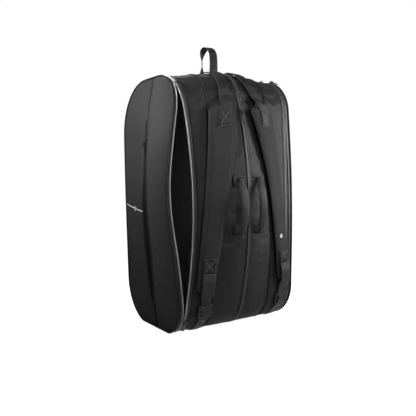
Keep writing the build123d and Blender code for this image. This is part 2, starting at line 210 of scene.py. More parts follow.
def grid_uv(grid):
    """Metric coordinates of a grid of points, measured along its middle row and column."""
    rows, cols = grid.shape[:2]
    u = np.zeros((rows, cols))
    v = np.zeros((rows, cols))
    u[:, 1:] = np.cumsum(np.linalg.norm(np.diff(grid, axis=1), axis=2), axis=1)
    v[1:, :] = np.cumsum(np.linalg.norm(np.diff(grid[:, cols // 2], axis=0), axis=1))[:, None]
    u -= u[:, cols // 2][:, None]
    return np.stack([u, v], 2)


def solid_grid(name, outer, inner, material, wrap=False):
    """Closed solid between two grids of points. wrap closes the rows into a ring."""
    rows, cols = outer.shape[:2]
    verts = np.concatenate([outer.reshape(-1, 3), inner.reshape(-1, 3)])
    uv = grid_uv(outer).reshape(-1, 2)
    count = rows * cols
    faces = []
    last = rows if wrap else rows - 1
    for i in range(last):
        n = (i + 1) % rows
        for j in range(cols - 1):
            a, b, c, d = i * cols + j, i * cols + j + 1, n * cols + j + 1, n * cols + j
            faces.append((a, b, c, d))
            faces.append((count + d, count + c, count + b, count + a))
        a, d = i * cols, n * cols
        faces.append((a, d, count + d, count + a))
        b, c = i * cols + cols - 1, n * cols + cols - 1
        faces.append((c, b, count + b, count + c))
    if not wrap:
        for j in range(cols - 1):
            a, b = j, j + 1
            faces.append((b, a, count + a, count + b))
            c, d = (rows - 1) * cols + j, (rows - 1) * cols + j + 1
            faces.append((c, d, count + d, count + c))
    obj = add_object(name, verts, faces, np.concatenate([uv, uv]), material)
    fix_normals(obj)
    return obj


def fix_normals(obj):
    """Closes a grid's seams and turns every face outward."""
    bm = bmesh.new()
    bm.from_mesh(obj.data)
    bmesh.ops.remove_doubles(bm, verts=bm.verts, dist=1e-6)
    bmesh.ops.recalc_face_normals(bm, faces=bm.faces)
    bm.to_mesh(obj.data)
    bm.free()


def tube(name, path, radius, material, sides=10, closed=False, flat=1.0, ripple=0.0, normals=None):
    """A round or flattened tube along a list of points. ripple swells every second ring."""
    path = [Vector(p) for p in path]
    count = len(path)
    verts, uv = [], []
    length = 0.0
    for i, p in enumerate(path):
        before = path[i - 1] if (i or closed) else p
        after = path[(i + 1) % count] if (i < count - 1 or closed) else p
        along = (after - before).normalized()
        if i:
            length += (p - path[i - 1]).length
        up = normals[i] if normals is not None else Vector((0, 0, 1))
        if abs(up.dot(along)) > 0.95 and normals is None:
            up = Vector((0, 1, 0))
        side = along.cross(up).normalized()
        up = side.cross(along).normalized()
        r = radius * (1 + (ripple if i % 2 else -ripple))
        for k in range(sides):
            a = TAU * k / sides
            verts.append(p + side * (math.cos(a) * r) + up * (math.sin(a) * r * flat))
            uv.append((a / TAU * TAU * radius, length))
    faces = []
    for i in range(count if closed else count - 1):
        n = (i + 1) % count
        for k in range(sides):
            m = (k + 1) % sides
            faces.append((i * sides + k, i * sides + m, n * sides + m, n * sides + k))
    if not closed:
        faces.append(tuple(reversed(range(sides))))
        faces.append(tuple((count - 1) * sides + k for k in range(sides)))
    obj = add_object(name, verts, faces, uv, material)
    fix_normals(obj)
    return obj


def fold(x, scale, seed):
    """Slow soft folds: noise between -1 and 1 that is the same on every run."""
    return noise.noise(Vector(x) * scale + Vector((seed * 7.3, seed * 3.1, seed * 1.7)))


def crown(t, power=2.2):
    """1 in the middle and 0 at both ends, flat in between."""
    return max(0.0, 1 - abs(2 * t - 1) ** power)


def rise(distance, radius):
    """How far a rounded edge has risen at a distance from it: 0 on the edge, 1 a radius inside."""
    if distance >= radius:
        return 1.0
    k = 1 - max(distance, 0.0) / radius
    return math.sqrt(max(0.0, 1 - k * k))


def roll(t, length, radius):
    """How far a rounded edge has risen at share t of a length that is round at both ends."""
    return rise(min(t, 1 - t) * length, radius)


def shares(count):
    """Shares from 0 to 1, closer together near both ends."""
    return 0.5 - 0.5 * np.cos(np.pi * np.linspace(0, 1, count))


def spread(j, count):
    """From -1 to 1 over a count of points, closer together near both ends."""
    return -math.cos(math.pi * j / (count - 1))


def above_floor(path, height):
    """The path's points, none lower than a height."""
    for p in path:
        p.z = max(p.z, height)
    return path


def two_sides(rows, cols, points):
    """Outer and inner grids of a solid from a function that gives both points at a row and column."""
    grids = np.array([[[tuple(p) for p in points(i, j)] for j in range(cols)] for i in range(rows)])
    return grids[:, :, 0], grids[:, :, 1]


def weights(stops, count):
    """Smooth interpolation weights from evenly spaced samples to stops between 0 and 1."""
    table = np.zeros((len(stops), count))
    for row, t in zip(table, stops):
        x = min(max(t, 0.0), 1.0) * (count - 1)
        i = min(int(x), count - 2)
        f = x - i
        cubic = (
            -0.5 * f + f * f - 0.5 * f**3,
            1 - 2.5 * f * f + 1.5 * f**3,
            0.5 * f + 2 * f * f - 1.5 * f**3,
            -0.5 * f * f + 0.5 * f**3,
        )
        for k, w in zip(range(i - 1, i + 3), cubic):
            row[min(max(k, 0), count - 1)] += w
    return table


CLOTH_SETTINGS = {
    "quality": 6, "mass": 0.25, "air_damping": 4, "tension_stiffness": 25, "compression_stiffness": 25,
    "shear_stiffness": 12, "bending_stiffness": 0.6, "vertex_group_mass": "pins", "use_pressure": True,
}
CLOTH_GRAVITY, CLOTH_FRAMES = 0.5, 24
LIFT_LIMITS = (-0.0035, 0.0050)  # a padded panel sinks and stands out no further than this


def relaxed(points, normals, slack, push):
    """How far a panel's skin moves along its normals when it is cut a little too large, sewn down along
    its edges and pushed out by the padding behind it: a cloth simulation of a coarse grid of points."""
    rows, cols = points.shape[:2]
    faces = [(i * cols + j, i * cols + j + 1, (i + 1) * cols + j + 1, (i + 1) * cols + j)
             for i in range(rows - 1) for j in range(cols - 1)]
    mid = (rows // 2, cols // 2)
    right = points[mid[0], mid[1] + 1] - points[mid]
    down = points[mid[0] + 1, mid[1]] - points[mid]
    if np.dot(np.cross(right, down), normals[mid]) < 0:
        faces = [tuple(reversed(f)) for f in faces]
    mesh = bpy.data.meshes.new("relaxed")
    mesh.from_pydata([tuple(q) for q in points.reshape(-1, 3)], [], faces)
    obj = bpy.data.objects.new("relaxed", mesh)
    bpy.context.scene.collection.objects.link(obj)
    pins = obj.vertex_groups.new(name="pins")
    pins.add([i * cols + j for i in range(rows) for j in range(cols)
              if i in (0, rows - 1) or j in (0, cols - 1)], 1.0, "REPLACE")
    cloth = obj.modifiers.new("cloth", "CLOTH")
    for key, value in {**CLOTH_SETTINGS, "shrink_min": -slack, "uniform_pressure_force": push}.items():
        setattr(cloth.settings, key, value)
    cloth.settings.effector_weights.gravity = CLOTH_GRAVITY
    cloth.collision_settings.use_collision = False
    cloth.point_cache.frame_end = CLOTH_FRAMES
    for frame_number in range(1, CLOTH_FRAMES + 1):
        bpy.context.scene.frame_set(frame_number)
    shape = obj.evaluated_get(bpy.context.evaluated_depsgraph_get()).data
    moved = np.array([v.co[:] for v in shape.vertices]).reshape(rows, cols, 3)
    bpy.data.objects.remove(obj)
    bpy.context.scene.frame_set(1)
    return np.clip(((moved - points) * normals).sum(2), *LIFT_LIMITS)


def soft_lift(place, us, vs, size, puff, slack, push):
    crowned = np.array([[puff * crown(u, 3.0) * min(1.0, crown(v, 6.0) * 2) for u in us] for v in vs])
    if not slack:
        return crowned
    cols = int(min(30, max(9, size[0] / 0.006)))
    rows = int(min(110, max(12, size[1] / 0.008)))
    placed = [[place(j / (cols - 1), i / (rows - 1)) for j in range(cols)] for i in range(rows)]
    points = np.array([[tuple(p) for p, n in row] for row in placed])
    normals = np.array([[tuple(n) for p, n in row] for row in placed])
    field = relaxed(points, normals, slack, push)
    return 0.3 * crowned + weights(vs, rows) @ field @ weights(us, cols).T


def skin_panel(name, x_edges, s_range, material, puff, wave, across, rows, grow=0.0, thick=CLOTH, seed=1,
               wrap=False, edge=0.004, slack=0.0, push=3.0):
    """A padded panel on the hull. x_edges(s) gives its two edges; puff is how far it stands out between
    its seams, wave the height of its soft folds and slack how much larger than its seams it is cut."""
    s0, s1 = s_range
    us = 0.35 * shares(across) + 0.65 * np.linspace(0, 1, across)
    vs = [i / rows if wrap else i / (rows - 1) for i in range(rows)]

    def place(u, v):
        s = s0 + (s1 - s0) * v
        xa, xb = x_edges(s)
        x = xa + (xb - xa) * u
        return skin(x, s), skin_normal(x, s)

    xa, xb = x_edges((s0 + s1) / 2)
    length = sum((place(0.5, k / 20)[0] - place(0.5, (k + 1) / 20)[0]).length for k in range(20))
    lifts = soft_lift(place, us, vs, (abs(xb - xa), length), puff, slack, push)

    def faces(i, j):
        xa, xb = x_edges(s0 + (s1 - s0) * vs[i])
        p, n = place(us[j], vs[i])
        rim = min(roll(us[j], abs(xb - xa), edge), 1.0 if wrap else roll(vs[i], length, edge))
        lift = grow + lifts[i, j] + wave * crown(us[j], 4.0) * fold(p, 13.0, seed)
        return p + n * (lift - (1 - rim) * thick * 0.45), p + n * (grow - thick + 0.0003)

    return solid_grid(name, *two_sides(rows, across, faces), material, wrap)


def put(obj, body, slot, *nodes):
    """The piece rides on a body and stands for CAD nodes, which are hidden; slot is not used."""
    if body:
        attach(obj, body)
    if nodes:
        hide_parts(*nodes)
    return obj


def resample(path, step, closed=False):
    """Points a fixed distance apart along a polyline."""
    points = np.array([tuple(p) for p in path])
    if closed:
        points = np.concatenate([points, points[:1]])
    run = np.concatenate([[0], np.cumsum(np.linalg.norm(np.diff(points, axis=0), axis=1))])
    count = max(2, int(round(run[-1] / step)))
    stops = np.linspace(0, run[-1], count + 1)
    if closed:
        stops = stops[:-1]
    return [Vector([np.interp(t, run, points[:, k]) for k in range(3)]) for t in stops]


def coil(name, path, radius, material, body, closed=False, step=0.0018, ripple=0.14):
    """A zip's row of teeth along a path."""
    path = resample(path, step, closed)
    put(tube(name, path, radius, material, sides=8, closed=closed, ripple=ripple), body, "zip_tape")


def joined(name, objects):
    """Several meshes as one object."""
    for obj in list(bpy.context.selected_objects):
        obj.select_set(False)
    for obj in objects:
        obj.select_set(True)
    bpy.context.view_layer.objects.active = objects[0]
    bpy.ops.object.join()
    objects[0].name = name
    objects[0].select_set(False)
    return objects[0]


# ---- materials ---------------------------------------------------------------------------------


def shader(name, color, roughness, **sockets):
    """A material with a Principled shader. Returns the material, its node tree and the shader."""
    material = bpy.data.materials.new(name)
    material.use_nodes = True
    tree = material.node_tree
    bsdf = tree.nodes["Principled BSDF"]
    bsdf.inputs["Base Color"].default_value = (*color, 1)
    bsdf.inputs["Roughness"].default_value = roughness
    for key, value in sockets.items():
        bsdf.inputs[key.replace("_", " ")].default_value = value
    return material, tree, bsdf


def math_node(tree, operation, a, b=None):
    """Output of a maths node on numbers or sockets."""
    node = tree.nodes.new("ShaderNodeMath")
    node.operation = operation
    for i, value in enumerate((a, b)):
        if value is None:
            continue
        if isinstance(value, (int, float)):
            node.inputs[i].default_value = value
        else:
            tree.links.new(value, node.inputs[i])
    return node.outputs[0]


def noise_node(tree, scale, detail, roughness=0.5):
    """Noise in object space."""
    node = tree.nodes.new("ShaderNodeTexNoise")
    node.inputs["Scale"].default_value = scale
    node.inputs["Detail"].default_value = detail
    node.inputs["Roughness"].default_value = roughness
    coords = tree.nodes.new("ShaderNodeTexCoord")
    tree.links.new(coords.outputs["Object"], node.inputs["Vector"])
    return node.outputs["Fac"]


def remap(tree, value, out_low, out_high):
    """A noise's middle range carried to another range."""
    node = tree.nodes.new("ShaderNodeMapRange")
    limits = {"From Min": 0.3, "From Max": 0.7, "To Min": out_low, "To Max": out_high}
    for key, number in limits.items():
        node.inputs[key].default_value = number
    tree.links.new(value, node.inputs["Value"])
    return node.outputs["Result"]


def bump(tree, bsdf, heights):
    """Stacks bumps: pairs of a height and how many metres it is worth."""
    last = None
    for height, distance in heights:
        node = tree.nodes.new("ShaderNodeBump")
        node.inputs["Strength"].default_value = 1.0
        node.inputs["Distance"].default_value = distance
        tree.links.new(height, node.inputs["Height"])
        if last is not None:
            tree.links.new(last, node.inputs["Normal"])
        last = node.outputs["Normal"]
    tree.links.new(last, bsdf.inputs["Normal"])


def two_tone(tree, bsdf, share, first, second):
    """Base colour between two colours by share."""
    mix = tree.nodes.new("ShaderNodeMix")
    mix.data_type = "RGBA"
    mix.inputs["A"].default_value = (*first, 1)
    mix.inputs["B"].default_value = (*second, 1)
    tree.links.new(share, mix.inputs["Factor"])
    tree.links.new(mix.outputs["Result"], bsdf.inputs["Base Color"])


def threads(tree, pitch, kind):
    """Height of a weave along the mesh's own metric coordinates: plain, twill, rib or knit."""
    uv = tree.nodes.new("ShaderNodeUVMap")
    uv.uv_map = "weave"
    split = tree.nodes.new("ShaderNodeSeparateXYZ")
    tree.links.new(uv.outputs["UV"], split.inputs["Vector"])

    def times(x, y):
        return math_node(tree, "MULTIPLY", x, y)

    def plus(x, y):
        return math_node(tree, "ADD", x, y)

    def wave(x):
        return math_node(tree, "SINE", x)

    u = times(split.outputs["X"], TAU / pitch)
    v = times(split.outputs["Y"], TAU / pitch)
    if kind == "plain":
        return plus(times(times(wave(u), wave(v)), 0.5), 0.5)
    if kind == "twill":
        return plus(plus(times(wave(plus(u, v)), 0.35), times(wave(times(u, 2.0)), 0.15)), 0.5)
    if kind == "rib":
        return plus(math_node(tree, "ABSOLUTE", wave(times(v, 0.5))), times(wave(times(u, 1.6)), 0.15))
    across = math_node(tree, "ABSOLUTE", wave(u))
    return times(across, math_node(tree, "ABSOLUTE", wave(plus(v, times(across, 0.8)))))


def grey(value):
    """A grey a touch cooler than neutral."""
    return (value, value, value * 1.022)


def cloth_material(name, dark, light, roughness, pitch, kind, depth, sheen, specular):
    """Fabric between two greys: a weave of a kind, pitch and depth, slow tone changes and fibre grain."""
    material, tree, bsdf = shader(
        name, grey(dark), roughness, Specular_IOR_Level=specular, Sheen_Weight=sheen, Sheen_Roughness=0.5
    )
    bsdf.inputs["Sheen Tint"].default_value = (0.8, 0.8, 0.82, 1)
    weave = threads(tree, pitch, kind)
    slow = noise_node(tree, 9.0, 4.0)
    fine = noise_node(tree, 900.0, 2.0)
    share = math_node(tree, "ADD", math_node(tree, "MULTIPLY", weave, 0.45), remap(tree, slow, 0.0, 0.35))
    share = math_node(tree, "ADD", share, remap(tree, fine, 0.0, 0.12))
    share = math_node(tree, "ADD", share, remap(tree, noise_node(tree, 330.0, 2.0, 0.7), -0.22, 0.22))
    two_tone(tree, bsdf, share, grey(dark), grey(light))
    worn = remap(tree, slow, roughness - 0.05, roughness + 0.05)
    tree.links.new(math_node(tree, "ADD", worn, remap(tree, fine, -0.04, 0.04)), bsdf.inputs["Roughness"])
    bump(tree, bsdf, ((noise_node(tree, 38.0, 3.0), 0.0008), (weave, depth), (fine, 0.00008)))
    return material


def plastic_material(name, tone, roughness, coat=0.0, metallic=0.0, specular=0.5):
    """A moulded or printed surface, a little smudged and paler in places."""
    color = grey(tone)
    material, tree, bsdf = shader(
        name, color, roughness, Metallic=metallic, Coat_Weight=coat, Specular_IOR_Level=specular
    )
    smudge = noise_node(tree, 60.0, 4.0)
    tree.links.new(remap(tree, smudge, roughness - 0.06, roughness + 0.09), bsdf.inputs["Roughness"])
    share = remap(tree, noise_node(tree, 300.0, 3.0), 0.0, 0.6)
    two_tone(tree, bsdf, share, color, [c * 1.6 + 0.004 for c in color])
    bump(tree, bsdf, ((noise_node(tree, 1400.0, 2.0), 0.00003),))
    return material


SHELL = cloth_material("shell_fabric", 0.0032, 0.0085, 0.55, 0.0012, "plain", 0.00014, 0.02, 0.14)
WALL_SMOOTH = cloth_material("wall_smooth", 0.0115, 0.0205, 0.62, 0.0008, "plain", 0.00006, 0.02, 0.07)
WALL_WEAVE = cloth_material("wall_weave", 0.0080, 0.0200, 0.64, 0.0032, "twill", 0.00030, 0.02, 0.06)
PAD = cloth_material("pad_fabric", 0.0080, 0.0170, 0.70, 0.0016, "knit", 0.00022, 0.04, 0.12)
BINDING = cloth_material("binding", 0.0060, 0.0170, 0.48, 0.0014, "rib", 0.00018, 0.01, 0.14)
WEBBING = cloth_material("webbing", 0.0042, 0.0130, 0.32, 0.0016, "twill", 0.00024, 0.01, 0.20)
# paler than the same zip's tape on the right: painted highlight along the open zip's edges
PAINTED_HIGHLIGHT_TAPE = cloth_material("zip_tape", 0.0090, 0.0240, 0.46, 0.0010, "rib", 0.00014, 0.02, 0.20)
LINING = cloth_material("lining", 0.1500, 0.2400, 0.75, 0.0014, "plain", 0.00010, 0.02, 0.10)
LIP = cloth_material("zip_lip", 0.0060, 0.0170, 0.40, 0.0010, "rib", 0.00014, 0.02, 0.25)
# near-black matte cloth that paints in shade: under the wall's seam, in the pocket mouth and in the
# handles' slits
SHADOW = cloth_material("painted_shade_tape", 0.0020, 0.0050, 0.80, 0.0014, "rib", 0.00012, 0.0, 0.04)
HANDLE = cloth_material("handle_fabric", 0.0060, 0.0145, 0.55, 0.0012, "plain", 0.00012, 0.03, 0.14)
PIPING = cloth_material("piping", 0.0030, 0.0090, 0.46, 0.0010, "rib", 0.00010, 0.01, 0.12)
# pale grey teeth: painted highlight along the open zip's edges; the same teeth elsewhere are dark_coil
PAINTED_HIGHLIGHT_COIL = plastic_material("zip_coil", 0.19, 0.36, specular=0.35)
DARK_COIL = plastic_material("dark_coil", 0.020, 0.34)
THREAD = plastic_material("thread", 0.0040, 0.55, specular=0.15)
LIGHT_THREAD = plastic_material("light_thread", 0.050, 0.45, specular=0.35)
BUCKLE = plastic_material("buckle_plastic", 0.0035, 0.24, coat=0.08, specular=0.28)
METAL = plastic_material("zip_hardware", 0.10, 0.26, metallic=0.9)
MARK = plastic_material("print_silver", 0.62, 0.40)
# the left pair paints in the highlights along the open zip; the right pair is the same zip in its own dark
ZIP_LOOKS = {-1: (PAINTED_HIGHLIGHT_TAPE, PAINTED_HIGHLIGHT_COIL), 1: (LIP, DARK_COIL)}  # by side: the zip tape's cloth and its teeth


# ---- stitches ----------------------------------------------------------------------------------


def stitches(name, lines, material, pitch=0.0042, width=0.0006, height=0.0004):
    """Dashes of thread along lines of (point, normal), each a small ridge that is lower at its ends."""
    verts, faces, uv = [], [], []
    for line in lines:
        points = np.array([tuple(p) for p, n in line])
        normals = np.array([tuple(n) for p, n in line])
        run = np.concatenate([[0], np.cumsum(np.linalg.norm(np.diff(points, axis=0), axis=1))])
        count = int(run[-1] / pitch)
        for i in range(count):
            ends = []
            for t in (i * pitch + 0.15 * pitch, i * pitch + 0.5 * pitch, i * pitch + 0.82 * pitch):
                p = Vector([np.interp(t, run, points[:, k]) for k in range(3)])
                n = Vector([np.interp(t, run, normals[:, k]) for k in range(3)]).normalized()
                ends.append((p, n))
            along = (ends[2][0] - ends[0][0]).normalized()
            base = len(verts)
            for (p, n), rise in zip(ends, (0.15, 1.0, 0.15)):
                side = along.cross(n).normalized() * (width / 2)
                verts += [p - side - n * 0.0002, p + n * height * rise, p + side - n * 0.0002]
                uv += [(0, 0)] * 3
            for k in (0, 3):
                a = base + k
                faces += [(a, a + 3, a + 4, a + 1), (a + 1, a + 4, a + 5, a + 2), (a + 2, a + 5, a + 3, a)]
            faces += [(base, base + 1, base + 2), (base + 8, base + 7, base + 6)]
    return add_object(name, verts, faces, uv, material)


# ---- centre compartment ------------------------------------------------------------------------

TOP_SEAM = START["top_front"] + 3.0
BOTTOM_SEAM = START["bottom_front"] + 0.8 * COUNTS[3]
BACK_SEAM = START["bottom_back"] + 10.0
HIGH_SEAM = START["top_back"] + 22.0
SEAM_GAP = 0.0012  # from a panel's edge to the seam it is sewn into
TAPE_HALF = 0.0065
NAMES = {-1: "left", 1: "right"}


def front_line(x, s0, s1, lift, step=1.0):
    """Points and normals down the front at x, a little above the skin."""
    placed = [(skin(x, s), skin_normal(x, s)) for s in np.arange(s0, s1, step)]
    return [(p + n * lift, n) for p, n in placed]


def build_center():
    """The centre compartment's front panels, bottom, back and top."""
    for side in (-1, 1):
        name = NAMES[side]
        inner = SHIFT + side * TAPE_HALF
        outer = side * (SEAM - SEAM_GAP)
        low_x, high_x = sorted((inner, outer))
        panel = skin_panel(f"center_front_{name}", lambda s: (low_x, high_x), (TOP_SEAM, BOTTOM_SEAM),
                           SHELL, puff=0.0022, wave=0.0010, seed=3 + side, across=34, rows=230,
                           slack=0.0028, push=2.0)
        put(panel, "bag", "shell_fabric", f"center_front_{name}_panel")
        lines = [
            front_line(inner + side * 0.0042, TOP_SEAM + 1, BOTTOM_SEAM - 1, 0.0011),
            front_line(outer - side * 0.0050, TOP_SEAM + 1, BOTTOM_SEAM - 1, 0.0013),
        ]
        put(stitches(f"center_stitches_{name}", lines, THREAD), "bag", "shell_fabric")
    wraps = (  # name, from, to, rows, puff, wave, slack and the CAD nodes it stands for
        ("center_bottom", BOTTOM_SEAM, BACK_SEAM, 60, 0.0, 0.0, 0.0, ("center_gusset",)),
        ("center_back", BACK_SEAM, HIGH_SEAM, 170, 0.0022, 0.0010, 0.003, ()),
        ("center_top", HIGH_SEAM, LOOP + TOP_SEAM, 80, 0.0022, 0.0010, 0.003, ()),
    )
    for i, (name, s0, s1, rows, puff, wave, slack, nodes) in enumerate(wraps):
        panel = skin_panel(name, lambda s: (-SEAM + SEAM_GAP, SEAM - SEAM_GAP), (s0, s1), SHELL, puff=puff,
                           wave=wave, seed=11 + i, across=48, rows=rows, slack=slack, push=2.0)
        put(panel, "bag", "shell_fabric", *nodes)


def build_center_zip():
    """The closed zip down the strap face: two lips that meet over a row of teeth."""
    lips = []
    for side in (-1, 1):
        edges = tuple(sorted((SHIFT + side * 0.0010, SHIFT + side * (TAPE_HALF + 0.0006))))
        lips.append(skin_panel(f"center_zip_lip_{side}", lambda s: edges, (TOP_SEAM + 1, BOTTOM_SEAM - 1),
                               LIP, grow=0.0010, thick=0.0022, puff=0.0010, wave=0.0, across=9, rows=200,
                               edge=0.0020))
    put(joined("center_zip_lips", lips), "bag", "zip_tape", "center_zip_tape")
    path = [p for p, n in front_line(SHIFT, TOP_SEAM + 2, BOTTOM_SEAM - 2, -0.0006)]
    coil("center_zip_coil", path, 0.0016, DARK_COIL, "bag", step=0.0016, ripple=0.16)


def build_seam_piping():
    """Piping round the bag in both compartment seams."""
    pipes = []
    for side in (-1, 1):
        path, normals = zip(*front_line(side * SEAM, 0, LOOP, 0.0004, 0.5))
        path = above_floor(path, 0.0022)
        pipes.append(tube(f"pipe_{side}", path, 0.0020, PIPING, closed=True, normals=normals))
    put(joined("seam_piping_cord", pipes), "bag", "piping", "seam_piping")


# ---- side compartments: gussets, zips and linings ----------------------------------------------

LIP_LOW, LIP_HIGH = 0.095, 0.700
LIP_DRAW = (high("left_zip_inner_tape").x - low("left_zip_inner_tape").x) - 0.011
TAPE_WIDTH = 0.011
LIP_GAP = 0.0006
LINING_GROW = -0.0036  # the lining hangs this far inside the hull


def lip_x(side, s):
    """X of a compartment's inner zip lip. The left one, which is open, draws back along the front."""
    x = PART_X - LIP_GAP
    if side < 0:
        k = s % LOOP
        if START["top_front"] < k < START["bottom"]:
            z = skin(-PART_X, s).z
            t = (z - (LIP_LOW + LIP_HIGH) / 2) / ((LIP_HIGH - LIP_LOW) / 2)
            if abs(t) < 1:
                x -= LIP_DRAW * (1 - t * t)
    return side * x


def build_side(side):
    """A side compartment without its outer wall: gusset, half of the zip, lining and divider."""
    name = NAMES[side]
    tape_cloth, teeth = ZIP_LOOKS[side]

    def edges(inner, outer):
        """The two edges of a sleeve, given its distances from the seam and from the zip's lip."""
        return lambda s: tuple(sorted((side * (SEAM + inner), lip_x(side, s) - side * outer)))

    shell_parts = (  # part, from, to, puff, wave, rows, slack
        ("front", TOP_SEAM, BOTTOM_SEAM, 0.0034, 0.0014, 230, 0.0045),
        ("bottom", BOTTOM_SEAM, BACK_SEAM, 0.0, 0.0, 60, 0.0),
        ("back", BACK_SEAM, HIGH_SEAM, 0.0020, 0.0008, 150, 0.004),
        ("top", HIGH_SEAM, LOOP + TOP_SEAM, 0.0020, 0.0010, 80, 0.004),
    )
    for i, (part, s0, s1, puff, wave, rows, slack) in enumerate(shell_parts):
        panel = skin_panel(f"{name}_gusset_{part}", edges(SEAM_GAP, TAPE_WIDTH), (s0, s1), SHELL, puff=puff,
                           wave=wave, seed=21 + i + 5 * side, across=26, rows=rows, slack=slack, push=3.0)
        put(panel, "bag", "shell_fabric", *((f"{name}_gusset",) if i == 0 else ()))

    def tape_edges(s):
        x = lip_x(side, s)
        return tuple(sorted((x - side * TAPE_WIDTH * 1.04, x - side * 0.0012)))

    tape = skin_panel(f"{name}_inner_tape", tape_edges, (0, LOOP), tape_cloth, grow=0.0006, thick=0.0020,
                      puff=0.0004, wave=0.0, across=10, rows=420, wrap=True, edge=0.0012)
    put(tape, "bag", "zip_tape", f"{name}_zip_inner_tape")
    path = [skin(lip_x(side, s) - side * 0.0010, s) + skin_normal(lip_x(side, s), s) * 0.0004
            for s in np.arange(0, LOOP, 0.5)]
    coil(f"{name}_inner_coil", above_floor(path, 0.0016), 0.0017, teeth, "bag", closed=True)
    line = []
    for s in np.arange(HIGH_SEAM, LOOP + BOTTOM_SEAM, 1.0):
        n = skin_normal(lip_x(side, s), s)
        line.append((skin(lip_x(side, s) - side * (TAPE_WIDTH + 0.0035), s) + n * 0.0012, n))
    put(stitches(f"{name}_gusset_stitches", [line], THREAD), "bag", "shell_fabric")

    lining = skin_panel(f"{name}_lining_sleeve", edges(0.002, 0.0025), (0, LOOP), LINING, grow=LINING_GROW,
                        thick=0.0011, puff=-0.0006, wave=0.0020, seed=40 + side, across=24, rows=320,
                        wrap=True, edge=0.0010)
    put(lining, "bag", "lining", f"{name}_lining")
    pad = wall_like(f"{name}_divider_pad", lambda y, z: side * SEAM, 0.002, LINING, LINING_GROW)
    put(pad, "bag", "lining", f"{name}_divider")


def side_span(z, grow=0.0):
    """Depths of the outer wall's front and back edges at height z."""
    points = outline(HALF, grow)
    front = points[START["top_front"]:START["bottom"] + 1]
    back = points[START["bottom_back"]:]
    y_front = np.interp(z, front[::-1, 1], front[::-1, 0])
    y_back = np.interp(z, back[:, 1], back[:, 0])
    return y_front, y_back


def wall_rows(count, grow, margin):
    """Heights from floor to top, closer together near the ends where the outline turns."""
    bottom = outline(HALF, grow)[:, 1].min() + margin
    top = outline(HALF, grow)[:, 1].max() - margin
    return bottom + (top - bottom) * shares(count)


def wall_like(name, x_of, half_thick, material, grow):
    """A padded board across the bag with the wall's outline, about the surface x_of(y, z)."""
    heights = wall_rows(90, grow, 0.0002)
    us = shares(40)

    def faces(i, j):
        z, u = heights[i], us[j]
        ya, yb = side_span(z, grow)
        y = ya + (yb - ya) * u
        wave = 0.0012 * fold((0, y, z), 9.0, 61) * crown(u) * crown(i / (len(heights) - 1))
        return (x_of(y, z) + half_thick + wave, y, z), (x_of(y, z) - half_thick + wave, y, z)

    return solid_grid(name, *two_sides(len(heights), len(us), faces), material)


# ---- lids: the outer walls ---------------------------------------------------------------------

BOW_HEIGHTS = np.array((-0.010, 0.120, 0.240, 0.410, 0.540, 0.650, 0.765))
BOW_LEFT = np.array((0.0, 0.010, 0.024, 0.043, 0.031, 0.013, 0.0))
MAX_BOW = {-1: 0.043, 1: 0.0043}
BOW_END, BOW_DEPTH, BOW_GAIN = 0.190, 0.380, 1.043  # the bow fades out towards the depth BOW_END
MOUTH_Y, MOUTH_Z, MOUTH_REACH = -0.014, 0.360, 0.300  # the pocket mouth's middle, and half its length


def natural_spline(xs, ys):
    """Second derivatives of the smooth curve through a few points, free at both ends."""
    n = len(xs)
    h = np.diff(xs)
    a = np.eye(n)
    b = np.zeros(n)
    for i in range(1, n - 1):
        a[i, i - 1:i + 2] = (h[i - 1], 2 * (h[i - 1] + h[i]), h[i])
        b[i] = 6 * ((ys[i + 1] - ys[i]) / h[i] - (ys[i] - ys[i - 1]) / h[i - 1])
    return np.linalg.solve(a, b)


BOW_CURVE = natural_spline(BOW_HEIGHTS, BOW_LEFT)


def bow(side, z):
    """How far the outer wall bows out along its front edge at height z."""
    i = int(np.clip(np.searchsorted(BOW_HEIGHTS, z) - 1, 0, len(BOW_HEIGHTS) - 2))
    h = BOW_HEIGHTS[i + 1] - BOW_HEIGHTS[i]
    a = (BOW_HEIGHTS[i + 1] - z) / h
    b = (z - BOW_HEIGHTS[i]) / h
    value = a * BOW_LEFT[i] + b * BOW_LEFT[i + 1]
    value += ((a**3 - a) * BOW_CURVE[i] + (b**3 - b) * BOW_CURVE[i + 1]) * h * h / 6
    return max(0.0, value) * MAX_BOW[side] / MAX_BOW[-1]


def wall_x(side, y, z, out):
    """X of the outer wall's face, bowed out along its front edge."""
    share = BOW_GAIN * (BOW_END - y) / BOW_DEPTH
    return side * (HALF + bow(side, z) * share + out)


def wall_sample(side, y, z, out=0.0):
    """Point of the outer wall's face, standing out a little, and the direction it faces."""
    return Vector((wall_x(side, y, z, out), y, z)), Vector((side, 0, 0))


def mouth_half(z):
    """Depths of the pocket mouth's front and rear edges at height z: it gapes in its lower half."""
    t = (z - MOUTH_Z) / MOUTH_REACH
    if abs(t) >= 1:
        return MOUTH_Y, MOUTH_Y
    gape = math.sin(math.pi * min(1.0, max(0.0, (z - 0.060) / 0.400))) ** 0.8
    opened = 0.013 * min(1.0, (1 - t * t) * 4) + 0.024 * gape
    return MOUTH_Y - 0.005 * (1 - t * t), MOUTH_Y - 0.001 + opened


SEAM_HEIGHTS = np.array((-0.05, 0.02, 0.060, 0.20, 0.50, 0.660, 0.700, 0.770))
SEAM_DEPTHS = np.array((-0.036, -0.024, -0.014, -0.012, -0.012, -0.014, -0.026, -0.052))


def mouth_edges(z):
    """Depths of the front panel's rear edge and the rear panel's front edge at height z."""
    front, rear = mouth_half(z)
    y = float(np.interp(z, SEAM_HEIGHTS, SEAM_DEPTHS))
    seam = y - 0.0014, y + 0.0055
    return seam if front == rear else (min(front, seam[0]), max(rear, seam[1]))


